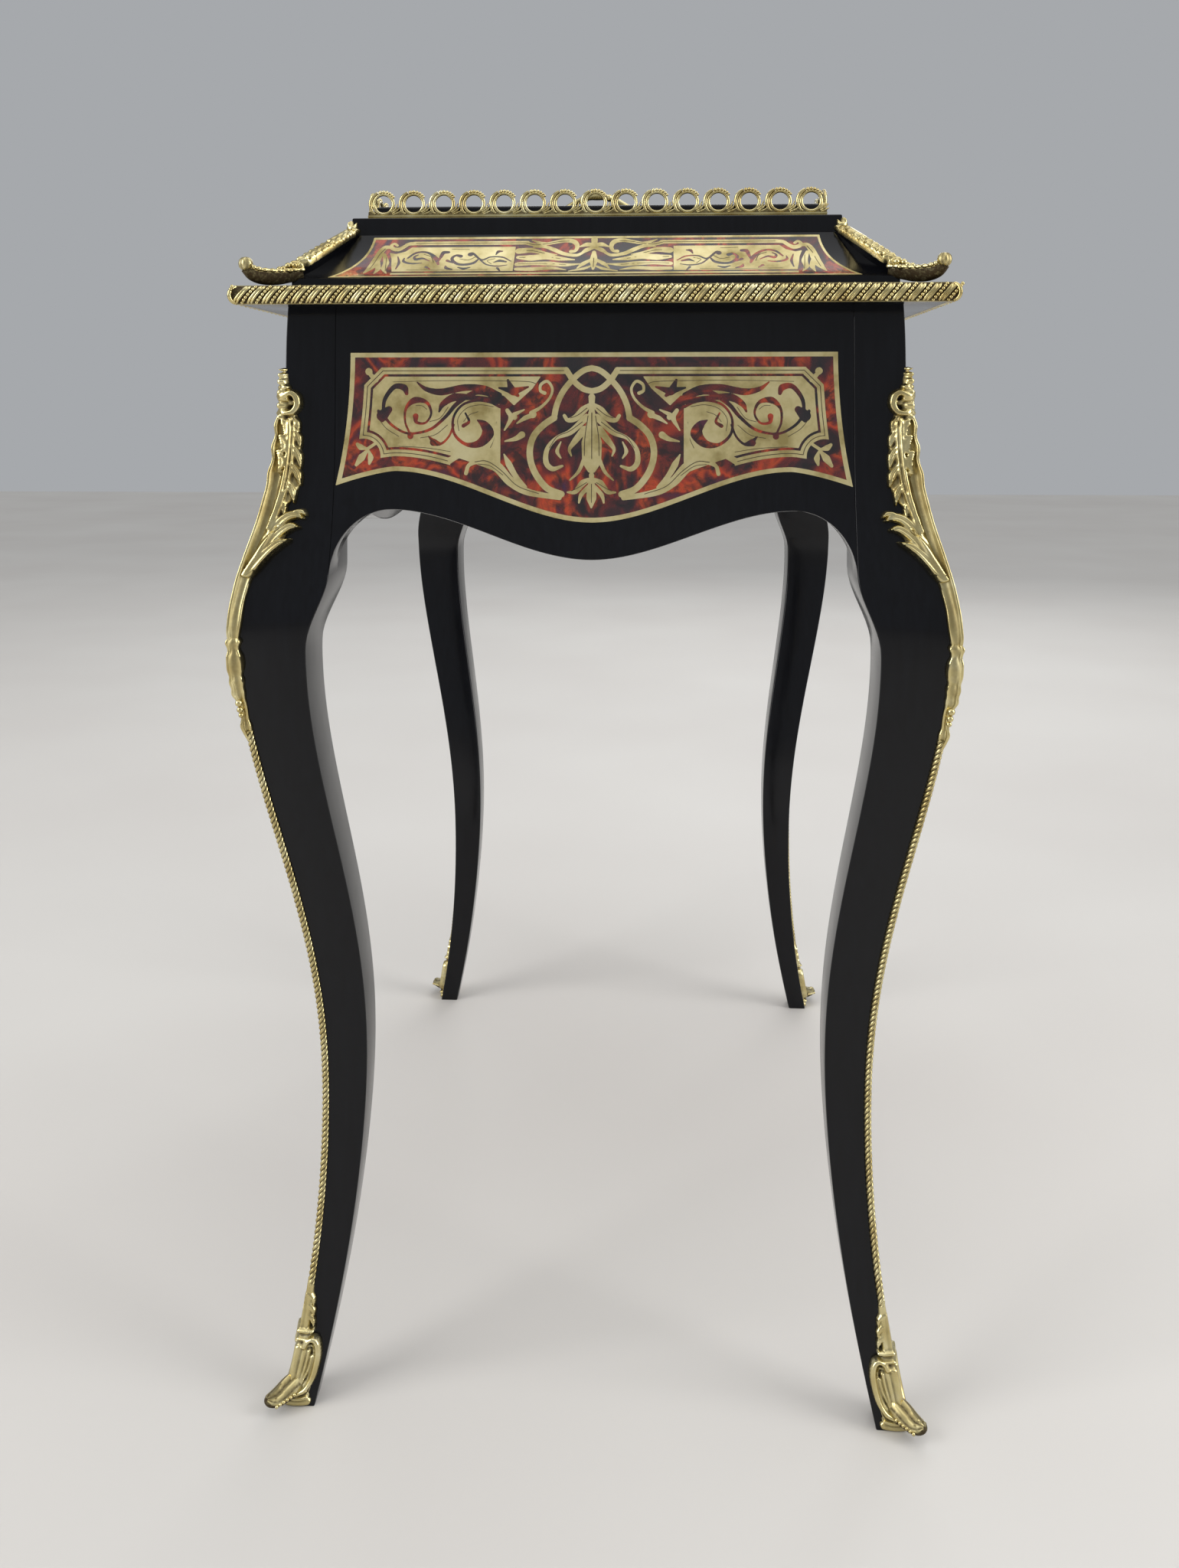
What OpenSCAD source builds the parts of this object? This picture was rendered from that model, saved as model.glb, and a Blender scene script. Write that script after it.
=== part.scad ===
// Jardiniere table: ebonised case on four cabriole legs, brass and tortoiseshell marquetry,
// gilt bronze mounts, pierced gallery, lift-off lid and zinc liner.
// X runs along the short side, Y along the long side, Z up. The origin is on the floor, in the middle.

/* [Case] */
// Half-width of the case under the slab, across the short side
case_half = 200; // [188:1:214]
// How much longer the long side is than the short side
side_extra = 206; // [100:2:320]
// Height from the floor to the underside of the slab
leg_h = 721; // [690:1:800]
// Thickness of a frieze rail at its waist
rail_t = 22; // [18:0.5:25]
// How far the frieze face is hollowed at its waist
waist_in = 4.5; // [1:0.5:7]
// Drop from the slab to the waist
waist_drop = 56; // [45:1:70]

/* [Legs] */
// How far the ankle stands in from the case
ankle_in = 20.4; // [12:0.2:28]
// How far the foot stands out from the ankle
foot_out = 20.4; // [12:0.2:28]
// Height of the ankle
ankle_z = 190; // [140:1:240]
// How far the knee stands out from the case
knee_out = 25.5; // [16:0.5:32]
// Drop from the slab to the fullest place of the knee
knee_drop = 206; // [198:1:220]
// Thickness of the leg at the foot
foot_t = 17.5; // [15:0.5:24]
// Thickness of the leg at the ankle
ankle_t = 26.3; // [20:0.1:34]
// Thickness of the leg at the knee
knee_t = 44.5; // [38:0.5:50]
// Thickness of the stile, the leg's upper end in the case
stile_t = 32; // [29:0.5:36]

/* [Joinery] */
// Length of a rail's tenon
tenon_l = 12; // [8:0.5:13]
// Thickness of a rail's tenon
tenon_t = 9; // [7:0.5:10]
// Height of a rail's tenon
tenon_h = 90; // [60:1:100]
// Depth of the stile's face in front of the mortise
tenon_set = 9.5; // [8.5:0.5:11]
// Clearance round a tenon, a peg or a notch
joint_gap = 0.2; // [0.1:0.05:0.4]

/* [Lower edge of the rails] */
// Drop from the slab to the top of the arch beside each leg
arch_drop = 132; // [129:1:137]
// Drop from the slab to the lowest place in the middle
centre_drop = 163; // [150:1:170]
// Drop from the slab to the foot of the arch, on the leg
ear_drop = 173; // [168:1:180]
// Width of the arch beside each leg
arch_w = 38; // [30:1:46]

/* [Marquetry] */
// Thickness of the marquetry, which is let in flush
veneer_t = 1.6; // [1:0.1:2.5]
// Drop from the slab to the top edge of a frieze panel
panel_top_drop = 30; // [24:1:40]
// Distance from the stile to the panel's upper corner
panel_corner_in = 10; // [6:0.5:16]
// Distance from the stile to the panel's lower tip
panel_tip_in = 1; // [0.5:0.5:6]
// Drop from the slab to the panel's lower tips
panel_tip_drop = 116.5; // [112:0.5:122]
// Drop from the slab to the panel's shoulders
panel_shoulder_drop = 107; // [100:0.5:112]
// Distance from the stile to the panel's shoulders
panel_shoulder_in = 40; // [30:1:52]
// Drop from the slab to the panel's lowest place
panel_low_drop = 139.5; // [125:0.5:145]
// Distance from the hip to a cavetto panel at its foot
cove_inset_foot = 21.5; // [16:0.5:28]
// Distance from the hip to a cavetto panel at its top
cove_inset_top = 15.5; // [12:0.5:20]
// How much a cavetto panel's ends are hollowed between their foot and top
cove_end_hollow = 3.2; // [0:0.2:6]

/* [Slab] */
// How far the slab's wood stands out over the case
slab_over = 23; // [17:1:36]
// Thickness of the slab
slab_t = 12; // [9:0.5:18]
// How far the bronze edge moulding stands out from the wood
mould_w = 7; // [5:0.5:10]
// Height of the flat fillets of the edge moulding
mould_fillet = 2; // [1:0.5:3]

/* [Upper part] */
// How far the foot of the cavetto stands in from the case
cove_in = 2; // [0.5:0.5:6]
// Depth of the cavetto boards, from their foot to the well that the liner passes through
cove_depth = 54; // [50:1:62]
// Height of the plain fillet under the cavetto
cove_fillet = 7; // [5:0.5:12]
// Width and height of the cavetto
cove_run = 32.5; // [28:0.5:36]
// Radius of the cavetto's hollow
cove_r = 70; // [50:1:120]
// Thickness of the cap boards
cap_t = 12; // [10:0.5:18]

/* [Gallery] */
// Distance from the cap's edge to the gallery
gallery_in = 8.9; // [5:0.1:11]
// Thickness of the gallery
gallery_t = 2; // [1.5:0.1:2.2]
// Height of the gallery's base strip
strip_h = 3; // [2:0.5:5]
// Outer radius of a ring
ring_r = 8.9; // [7:0.1:9.4]
// Radius of a ring's opening
ring_bore_r = 5.65; // [4.5:0.05:6.2]
// Distance from ring to ring
ring_pitch = 20.9; // [19:0.1:24]
// Diameter of the pegs under the gallery
peg_d = 1.4; // [1:0.1:1.4]
// Length of the pegs under the gallery
peg_l = 8; // [5:0.5:9]

/* [Lid] */
// Thickness of the lid
lid_t = 9.5; // [8:0.5:14]
// Clearance between the lid and the gallery
lid_gap = 2; // [1:0.25:3]
// Chamfer round the lid's upper edge
lid_chamfer = 1.5; // [0.5:0.5:3]
// Width of the cleats under the lid
cleat_w = 20; // [14:1:30]
// Thickness of the cleats under the lid
cleat_t = 10; // [8:1:16]
// Clearance between the cleats and the liner
cleat_gap = 2; // [1:0.5:4]
// Distance between the two feet of a handle
handle_span = 42; // [36:1:60]
// Height of a handle above the lid
handle_h = 13; // [12.5:0.5:22]
// Diameter of a handle's grip
grip_d = 5.6; // [4.5:0.1:6]
// Radius of a handle's feet
handle_foot_r = 7; // [5.5:0.5:9]
// Thickness of a handle's feet
handle_foot_t = 2.6; // [2:0.2:4]
// Diameter of the studs under a handle
stud_d = 4; // [3:0.5:5]
// Width of the nuts across their corners
nut_w = 8; // [7:0.5:10]
// Thickness of the nuts
nut_t = 3.2; // [2:0.2:5]

/* [Liner] */
// Clearance between the liner's rim and the well
liner_gap = 2; // [1:0.5:4]
// Width of the liner's rim
liner_rim = 3; // [2:0.5:5]
// Thickness of the zinc
liner_wall = 1; // [0.8:0.1:1.5]
// Drop from the cap's top to the liner's rim
liner_drop = 3.5; // [1.5:0.5:8]
// Drop from the slab to the top of the bottom board
board_drop = 97; // [80:1:98]
// Thickness of the bottom board
board_t = 12; // [9:0.5:16]
// Height and depth of the ledgers under the bottom board
ledger = 14; // [10:1:16]
// Side of the glue blocks under the slab
block = 16; // [10:1:20]
// Length of the glue blocks
block_l = 60; // [30:5:90]

/* [Bronze mounts] */
// Length of the husks of the knee mount, below the fullest place of the knee
husk_l = 67; // [60:1:80]
// Width of the arris trim on each face
trim_w = 4; // [3:0.5:6]
// How far the arris trim stands out
trim_out = 2.7; // [1.5:0.1:4]
// Height of the sabot's leaf point
sabot_h = 74; // [60:1:90]
// How far the toe stands out from the wood of the foot
toe_out = 11; // [8:0.5:14]
// Width of the toe
toe_w = 13; // [9:0.5:16]
// How far the corner mount stands out from the cavetto
hip_out = 4.5; // [3:0.5:7]
// Height of the corner mount's knob over the slab
knob_up = 10; // [9:0.5:11]
// Radius of the corner mount's knob
knob_r = 4.5; // [4:0.25:6]
// Width of the corner mount's tongue
tongue_w = 11; // [8:0.5:14]

/* [Hidden] */
SIDES = ["front", "right", "back", "left"];
CORNERS = ["front_left", "front_right", "back_right", "back_left"];
SIDE_NODES = ["frieze_rail", "frieze_marquetry", "slab_board", "edge_moulding", "cavetto_board",
  "cavetto_marquetry", "cap_board", "gallery"];
CORNER_NODES = ["leg", "knee_mount", "arris_trim", "sabot", "corner_mount"];

EBONY = "#15161c";
BRONZE = "#b9a25a";
BRASS = "#c9b679";
SHELL = "#7a2a1c";
PINE = "#b08d5e";
ZINC = "#8d9499";

extra = side_extra / 2;
knee_z = leg_h - knee_drop;
waist_z = leg_h - waist_drop;
stile_in = case_half - stile_t;
stile_z = knee_z + 50;
rail_in = case_half - waist_in - rail_t;
thin_z = leg_h - board_drop - board_t - ledger - 3;
slab_half = case_half + slab_over;
slab_top = leg_h + slab_t;
cove_half = case_half - cove_in;
well_half = cove_half - cove_depth;
cove_z = slab_top + cove_fillet;
cove_top = cove_z + cove_run;
cap_half = cove_half - cove_run;
cap_top = cove_top + cap_t;
gallery_half = cap_half - gallery_in;
lid_half = gallery_half - gallery_t - lid_gap;
lid_top = cap_top + lid_t;
liner_half = well_half - liner_gap - liner_rim;
liner_top = cap_top - liner_drop;
board_z = leg_h - board_drop;
cleat_half = liner_half - liner_wall - cleat_gap;
cleat_y = cleat_half + extra - cleat_w / 2;
handle_y = cleat_y;
trim_z = knee_z - husk_l;
far = 2000;

// Leg profile
knee_lag = 1.15;
knee_lead = 0.8;
stations = 36;

function mix(a, b, t) = a + (b - a) * t;
function ease(t) = t * t * (3 - 2 * t);

function curve_out(z) =
  z < ankle_z ? case_half - ankle_in + foot_out * pow(1 - z / ankle_z, 2)
  : z < knee_z ? mix(case_half - ankle_in, case_half + knee_out,
      ease(pow((z - ankle_z) / (knee_z - ankle_z), knee_lag)))
  : z < waist_z ? mix(case_half + knee_out, case_half - waist_in,
      ease(pow((z - knee_z) / (waist_z - knee_z), knee_lead)))
  : mix(case_half - waist_in, case_half, pow((z - waist_z) / (leg_h - waist_z), 2));

HEIGHTS = [for (i = [0:stations]) leg_h * i / stations];
FACE = [for (z = HEIGHTS) [z, curve_out(z)]];
function face(z) = lookup(z, FACE);

function thick(z) = z < ankle_z ? mix(foot_t, ankle_t, pow(z / ankle_z, 1.3))
  : mix(ankle_t, knee_t, (z - ankle_z) / (knee_z - ankle_z));
function inner(z) = z < knee_z ? face(z) - thick(z)
  : z < stile_z ? mix(face(knee_z) - knee_t, stile_in, ease((z - knee_z) / (stile_z - knee_z)))
  : stile_in;
function between(lo, hi) =
  concat([lo], [for (z = HEIGHTS) if (z > lo + 0.5 && z < hi - 0.5) z], [hi]);
function backwards(v) = [for (i = [len(v) - 1:-1:0]) v[i]];

// A side's own frame: its face looks along -Y, and the shape is drawn as on the short side
module on_side(k) {
  rotate([0, 0, 90 * k])
    translate([0, k % 2 == 0 ? -extra : 0, 0])
      children();
}
function spare(k) = k % 2 == 0 ? 0 : extra;

// A corner's own frame: the corner points along +X and +Y
module on_corner(k) {
  mirror([k == 0 || k == 3 ? 1 : 0, 0, 0])
    mirror([0, k < 2 ? 1 : 0, 0])
      translate([0, extra, 0])
        children();
}

// A profile in [outwards, z], drawn along the side
module along_side(half) {
  rotate([90, 0, -90])
    linear_extrude(height = 2 * half, center = true)
      children();
}

// An outline in [x, z], drawn through the side
module through_side() {
  rotate([90, 0, 0])
    linear_extrude(height = far, center = true)
      children();
}

// The space between a board's two mitres, from inner_half to outer_half
module mitre(k, inner_half, outer_half, low, high) {
  s = spare(k);
  translate([0, 0, low])
    linear_extrude(height = high - low)
      polygon([[-outer_half - s, -outer_half], [outer_half + s, -outer_half],
        [inner_half + s, -inner_half], [-inner_half - s, -inner_half]]);
}

// A square column that follows one profile on both of a corner's faces
module both_faces(points) {
  intersection() {
    rotate([90, 0, 0])
      linear_extrude(height = far, center = true)
        polygon(points);
    rotate([90, 0, 90])
      linear_extrude(height = far, center = true)
        polygon(points);
  }
}

// Legs
module leg_wood() {
  both_faces(concat([for (z = HEIGHTS) [face(z), z]],
    [for (z = backwards(HEIGHTS)) [inner(z), z]]));
}

module tenon_block(gap) {
  y = case_half - tenon_set - tenon_t / 2;
  translate([stile_in - 1, y - tenon_t / 2 - gap, leg_h - 12 - tenon_h - gap])
    cube([tenon_l + 1 + gap, tenon_t + 2 * gap, tenon_h + 2 * gap]);
}

module leg(k) {
  color(EBONY)
    on_corner(k)
      difference() {
        leg_wood();
        tenon_block(joint_gap);
        mirror([1, -1, 0])
          tenon_block(joint_gap);
      }
}

// Frieze rails
arch_z = leg_h - arch_drop;
centre_z = leg_h - centre_drop;
ear_z = leg_h - ear_drop;

function rail_edge(k) = let (end = stile_in + spare(k), peak = end - arch_w) concat(
  [for (i = [0:11]) [peak * i / 12, mix(centre_z, arch_z, ease(i / 12))]],
  [for (a = [0:15:90]) [peak + arch_w * sin(a), ear_z + (arch_z - ear_z) * cos(a)]]);

module rail_outline(k) {
  edge = rail_edge(k);
  end = stile_in + spare(k);
  polygon(concat([[-end, leg_h]],
    [for (i = [len(edge) - 1:-1:1]) [-edge[i][0], edge[i][1]]],
    edge, [[end, leg_h]]));
}

module rail_section() {
  low = ear_z - 1;
  polygon(concat([for (z = between(low, leg_h)) [face(z), z]],
    [[rail_in, leg_h], [rail_in, thin_z]],
    [for (z = backwards(between(low, thin_z))) [face(z) - rail_t, z]]));
}

module rail_tenons(k) {
  for (m = [0, 1])
    mirror([m, 0, 0])
      translate([spare(k), 0, 0])
        mirror([0, 1, 0])
          tenon_block(0);
}

module frieze_rail(k) {
  color(EBONY)
    on_side(k)
      union() {
        difference() {
          intersection() {
            along_side(stile_in + spare(k))
              rail_section();
            through_side()
              rail_outline(k);
          }
          intersection() {
            along_side(stile_in + spare(k))
              panel_section(2 * case_half);
            through_side()
              panel_outline(k);
          }
        }
        rail_tenons(k);
      }
}

// Frieze marquetry
panel_top = leg_h - panel_top_drop;
tip_z = leg_h - panel_tip_drop;
shoulder_z = leg_h - panel_shoulder_drop;
panel_low = leg_h - panel_low_drop;

function panel_edge(k) =
  let (end = stile_in + spare(k), corner = end - panel_corner_in, tip = end - panel_tip_in,
    shoulder = end - panel_shoulder_in) concat(
    [for (i = [0:11]) [shoulder * i / 12, mix(panel_low, shoulder_z, ease(i / 12))]],
    [for (i = [0:3]) [mix(shoulder, tip, i / 4), mix(shoulder_z, tip_z, pow(i / 4, 1.4))]],
    [for (i = [0:5]) [mix(tip, corner, 1 - pow(1 - i / 5, 2)), mix(tip_z, panel_top, i / 5)]]);

module panel_outline(k) {
  edge = panel_edge(k);
  polygon(concat([for (i = [len(edge) - 1:-1:1]) [-edge[i][0], edge[i][1]]], edge));
}

// The rail's face from the back of the marquetry out to the distance out
module panel_section(out) {
  z = between(panel_low - 5, panel_top + 5);
  polygon(concat([for (h = z) [face(h) - veneer_t, h]],
    [[out, panel_top + 5], [out, panel_low - 5]]));
}

module panel_skin() {
  z = between(panel_low - 5, panel_top + 5);
  polygon(concat([for (h = z) [face(h) - veneer_t, h]],
    [for (h = backwards(z)) [face(h), h]]));
}

module frieze_marquetry(k) {
  color(SHELL)
    on_side(k)
      intersection() {
        along_side(stile_in + spare(k))
          panel_skin();
        through_side()
          panel_outline(k);
      }
}

// Slab
module slab_board(k) {
  color(EBONY)
    on_side(k)
      mitre(k, well_half, slab_half, leg_h, slab_top);
}

module moulding_section() {
  bead = slab_t / 2 - mould_fillet;
  translate([slab_half, leg_h])
    square([mould_w - bead + 1, slab_t]);
  translate([slab_half + mould_w - bead, leg_h + slab_t / 2])
    circle(r = bead, $fn = 48);
}

module edge_moulding(k) {
  color(BRASS)
    on_side(k)
      intersection() {
        along_side(slab_half + mould_w + spare(k))
          moulding_section();
        mitre(k, slab_half, slab_half + mould_w + 1, leg_h - 1, slab_top + 1);
      }
}

// Upper part
// The hollow's centre lies this far outside the cavetto, both outwards and upwards
cove_lean = sqrt(pow(cove_r, 2) / 2 - pow(cove_run / 2, 2)) - cove_run / 2;
cove_foot_deg = asin(cove_lean / cove_r);
inlay_edge = 2;

module at_hollow() {
  translate([cove_half + cove_lean, cove_top + cove_lean])
    children();
}

// Angles up the cavetto are measured from straight down, and share runs from its foot to its top
function cove_deg(share) = mix(cove_foot_deg, 90 - cove_foot_deg, share);
function cove_point(share, out) = let (a = cove_deg(share))
  [cove_half + cove_lean - (cove_r - out) * sin(a), cove_top + cove_lean - (cove_r - out) * cos(a)];

module cove_section() {
  difference() {
    translate([well_half, slab_top])
      square([cove_half - well_half, cove_top - slab_top]);
    at_hollow()
      circle(r = cove_r, $fn = 128);
  }
}

// The part of the hollow that the marquetry takes, a little short of the foot and of the top
module cove_wedge(r) {
  margin = inlay_edge / cove_r * 180 / PI;
  low = cove_foot_deg + margin;
  high = 90 - low;
  intersection() {
    at_hollow()
      circle(r = r, $fn = 128);
    at_hollow()
      polygon(3 * r * [[0, 0], [-sin(low), -cos(low)], [-1, -1], [-sin(high), -cos(high)]]);
  }
}

function cove_edge(k) = [for (i = [0:8])
  let (p = cove_point(i / 8, 0))
  [p[0] + spare(k) - mix(cove_inset_foot, cove_inset_top, i / 8)
     - cove_end_hollow * sin(180 * i / 8), p[1]]];

module cove_outline(k) {
  edge = cove_edge(k);
  polygon(concat(edge, [for (p = backwards(edge)) [-p[0], p[1]]]));
}

module cavetto_board(k) {
  color(EBONY)
    on_side(k)
      difference() {
        intersection() {
          along_side(cove_half + spare(k))
            cove_section();
          mitre(k, well_half, cove_half, slab_top - 1, cove_top + 1);
        }
        intersection() {
          along_side(cove_half + spare(k))
            cove_wedge(cove_r + veneer_t);
          through_side()
            cove_outline(k);
        }
      }
}

module cavetto_marquetry(k) {
  color(BRASS)
    on_side(k)
      intersection() {
        along_side(cove_half + spare(k))
          difference() {
            cove_wedge(cove_r + veneer_t);
            at_hollow()
              circle(r = cove_r, $fn = 128);
          }
        through_side()
          cove_outline(k);
      }
}

function pegs(k) = [for (i = [-1, -1 / 3, 1 / 3, 1]) i * (gallery_half + spare(k)) * 0.8];

module peg_row(k, d, length) {
  for (x = pegs(k))
    translate([x, gallery_t / 2 - gallery_half, cap_top - length])
      cylinder(d = d, h = length + 0.5, $fn = 24);
}

module cap_board(k) {
  color(EBONY)
    on_side(k)
      difference() {
        mitre(k, well_half, cap_half, cove_top, cap_top);
        peg_row(k, peg_d + joint_gap, peg_l + joint_gap);
      }
}

// Gallery
function gallery_end(k) = gallery_half + spare(k) - (k % 2 == 0 ? 0 : gallery_t);
function ring_count(k) = round(2 * gallery_end(k) / ring_pitch);

module gallery_face(k) {
  end = gallery_end(k);
  n = ring_count(k);
  step = 2 * end / n;
  base = cap_top + strip_h;
  ring_z = base + ring_r - 1.2;
  difference() {
    union() {
      translate([-end, cap_top])
        square([2 * end, strip_h]);
      for (i = [0:n - 1])
        translate([-end + (i + 0.5) * step, ring_z])
          circle(r = ring_r, $fn = 64);
      for (i = [1:n - 1])
        translate([-end + i * step, base]) {
          translate([-0.6, -1])
            square([1.2, 4]);
          translate([0, 3.6])
            circle(r = 1.7, $fn = 24);
        }
    }
    for (i = [0:n - 1])
      translate([-end + (i + 0.5) * step, ring_z])
        circle(r = ring_bore_r, $fn = 64);
  }
}

module gallery(k) {
  color(BRASS)
    on_side(k)
      union() {
        translate([0, gallery_t - gallery_half, 0])
          rotate([90, 0, 0])
            linear_extrude(height = gallery_t)
              gallery_face(k);
        peg_row(k, peg_d, peg_l);
      }
}

// Knee mount, in rows of [drop from the slab, width on each face, how far it stands out]
KNEE = [[41.5, 1, 2.5], [51, 6, 4], [62, 16, 6], [80, 17, 7], [100, 21, 7], [111, 23, 7],
  [125, 26, 7], [131, 22, 6.5], [137, 34, 5.5], [144, 27, 6], [151, 31, 5.5], [158, 25, 6.5],
  [170, 11, 7], [183, 11.5, 7], [205, 11, 7], [215, 7.5, 6], [228, 9.5, 5], [249, 8, 4],
  [knee_drop + husk_l, trim_w, trim_out]];

// A shell over the arris: rows of [z, width on each face, how far it stands out]
module arris_shell(rows) {
  difference() {
    both_faces(concat([for (r = rows) [face(r[0]) + r[2], r[0]]],
      [for (r = backwards(rows)) [face(r[0]) + r[2] - r[1], r[0]]]));
    leg_wood();
  }
}

module knee_mount(k) {
  color(BRONZE)
    on_corner(k)
      arris_shell([for (r = backwards(KNEE)) [leg_h - r[0], r[1] + r[2] / 3, r[2]]]);
}

module arris_trim(k) {
  rows = [for (z = between(sabot_h, trim_z)) [z, trim_w + trim_out / 2, trim_out]];
  color(BRASS)
    on_corner(k)
      arris_shell(rows);
}

// Sabot, in rows of [share of its height, width on each face, how far it stands out]
SABOT = [[0, 22, 4.5], [0.08, 24, 5], [0.16, 23, 4.5], [0.27, 21, 4.2], [0.38, 16, 4],
  [0.5, 13, 3.6], [0.62, 9, 3], [0.74, 8.5, 3.6], [0.86, 6, 3.2], [1, 3.5, trim_out]];

module toe() {
  start = face(0) - 3;
  tip = face(0) + toe_out;
  root = sqrt(2);
  rotate([90, 0, 45])
    linear_extrude(height = toe_w, center = true)
      polygon([[start * root, 0], [tip * root - 3, 0], [tip * root, 4], [tip * root + 1, 9],
        [tip * root - 2, 12], [tip * root - 5, 10], [tip * root - 9, 11], [start * root, 24]]);
}

module sabot(k) {
  color(BRONZE)
    on_corner(k)
      difference() {
        union() {
          arris_shell([for (r = SABOT) [r[0] * sabot_h, r[1], r[2]]]);
          toe();
        }
        leg_wood();
      }
}

// Corner mount of the cavetto, in rows of [share of the way up, width, how far it stands out]
HIP = [[0, 10, 2.1], [0.2, 9, 2.5], [0.4, 8.5, 2.7], [0.6, 8, 2.6], [0.8, 7, 2.3], [1, 6, 1.6]];

module hip_shell() {
  tip = cap_top - 2;
  difference() {
    both_faces(concat(
      [[cove_half + 1.5, cove_z]],
      [for (r = HIP) cove_point(r[0], r[2] * hip_out)],
      [[cap_half + hip_out * 0.3, tip], [cap_half - 3, tip]],
      [for (r = backwards(HIP)) cove_point(r[0], 0) - [r[1], 0]]));
    both_faces(concat([[cove_half, slab_top - 1], [cove_half, cove_z]],
      [for (i = [0:12]) cove_point(i / 12, 0)],
      [[cap_half, cap_top + 1], [0, cap_top + 1], [0, slab_top - 1]]));
  }
}

// The tongue over the slab's corner, in [distance along the diagonal, height over the slab]
module hip_tongue() {
  root = sqrt(2);
  start = (cove_half - 2) * root;
  end = (slab_half + 1) * root;
  difference() {
    rotate([90, 0, 45])
      linear_extrude(height = tongue_w, center = true)
        translate([0, slab_top])
          polygon([[start, 0], [end - 17, 0], [end - 7, 4], [end - 1, 9], [end - 2, 15], [end - 9, 13],
            [end - 16, 13], [start + 12, 15], [start, cove_fillet + 11]]);
    translate([0, 0, slab_top - 1])
      cube([cove_half, cove_half, cove_fillet + 8]);
  }
}

module corner_mount(k) {
  knob = slab_half - 1.5;
  color(BRONZE)
    on_corner(k)
      union() {
        hip_shell();
        hip_tongue();
        translate([knob, knob, slab_top + knob_up + knob_r])
          sphere(r = knob_r, $fn = 32);
      }
}

// Bottom board, ledgers and glue blocks
module bottom_board() {
  w = rail_in - joint_gap;
  notch = rail_in - stile_in + 2 * joint_gap;
  color(PINE)
    difference() {
      translate([-w, -w - extra, board_z - board_t])
        cube([2 * w, 2 * (w + extra), board_t]);
      for (k = [0:3])
        on_corner(k)
          translate([stile_in - joint_gap, stile_in - joint_gap, board_z - board_t - 1])
            cube([notch + 1, notch + 1, board_t + 2]);
    }
}

module carcass_blocks() {
  color(PINE)
    for (k = [0:3])
      on_side(k) {
        half = stile_in - 6 + spare(k) - (k % 2 == 0 ? 0 : ledger + 6);
        translate([-half, -rail_in, board_z - board_t - ledger])
          cube([2 * half, ledger, ledger]);
        for (x = [-1, 1])
          translate([x * half * 0.55, -rail_in, leg_h])
            rotate([90, 0, 90])
              linear_extrude(height = block_l, center = true)
                polygon([[0, 0], [0, -block], [block, 0]]);
      }
}

// Liner
module zinc_liner() {
  y = liner_half + extra;
  h = liner_top - board_z;
  color(ZINC)
    translate([0, 0, board_z])
      difference() {
        union() {
          translate([-liner_half, -y, 0])
            cube([2 * liner_half, 2 * y, h]);
          translate([-liner_half - liner_rim, -y - liner_rim, h - liner_rim])
            cube([2 * (liner_half + liner_rim), 2 * (y + liner_rim), liner_rim]);
        }
        translate([liner_wall - liner_half, liner_wall - y, liner_wall])
          cube([2 * (liner_half - liner_wall), 2 * (y - liner_wall), h]);
      }
}

// Lid
module lid_section(half) {
  polygon([[-half, cap_top], [half, cap_top], [half, lid_top - lid_chamfer],
    [half - lid_chamfer, lid_top], [lid_chamfer - half, lid_top],
    [-half, lid_top - lid_chamfer]]);
}

module at_studs() {
  for (y = [-handle_y, handle_y], x = [-handle_span / 2, handle_span / 2])
    translate([x, y, 0])
      children();
}

module lid_panel() {
  color(EBONY)
    difference() {
      intersection() {
        rotate([90, 0, 0])
          linear_extrude(height = far, center = true)
            lid_section(lid_half);
        rotate([90, 0, 90])
          linear_extrude(height = far, center = true)
            lid_section(lid_half + extra);
      }
      at_studs()
        translate([0, 0, cap_top - 1])
          cylinder(d = stud_d + joint_gap, h = lid_t + 2, $fn = 32);
    }
}

module lid_cleats() {
  color(EBONY)
    for (y = [-cleat_y, cleat_y])
      difference() {
        translate([-cleat_half, y - cleat_w / 2, cap_top - cleat_t])
          cube([2 * cleat_half, cleat_w, cleat_t]);
        at_studs()
          translate([0, 0, cap_top - cleat_t - 1])
            cylinder(d = nut_w + 3, h = cleat_t + 2, $fn = 32);
      }
}

module lid_handle(end) {
  rise = handle_h - grip_d / 2 - handle_foot_t / 2;
  chord = handle_span / 2;
  r = (pow(chord, 2) + pow(rise, 2)) / (2 * rise);
  swing = asin(chord / r);
  color(BRONZE)
    translate([0, end * handle_y, 0])
      union() {
        translate([0, 0, lid_top + handle_foot_t / 2 + rise - r])
          rotate([90, 0, 0])
            rotate([0, 0, 90 - swing])
              rotate_extrude(angle = 2 * swing, $fn = 96)
                translate([r, 0])
                  circle(d = grip_d, $fn = 24);
        for (x = [-chord, chord])
          translate([x, 0, 0]) {
            translate([0, 0, lid_top])
              cylinder(r = handle_foot_r, h = handle_foot_t, $fn = 48);
            translate([0, 0, cap_top - nut_t - 1])
              cylinder(d = stud_d, h = lid_t + nut_t + 2, $fn = 32);
          }
      }
}

module handle_nuts() {
  color(BRASS)
    at_studs()
      translate([0, 0, cap_top - nut_t])
        difference() {
          cylinder(d = nut_w, h = nut_t, $fn = 6);
          translate([0, 0, -1])
            cylinder(d = stud_d + joint_gap / 2, h = nut_t + 2, $fn = 32);
        }
}

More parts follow.
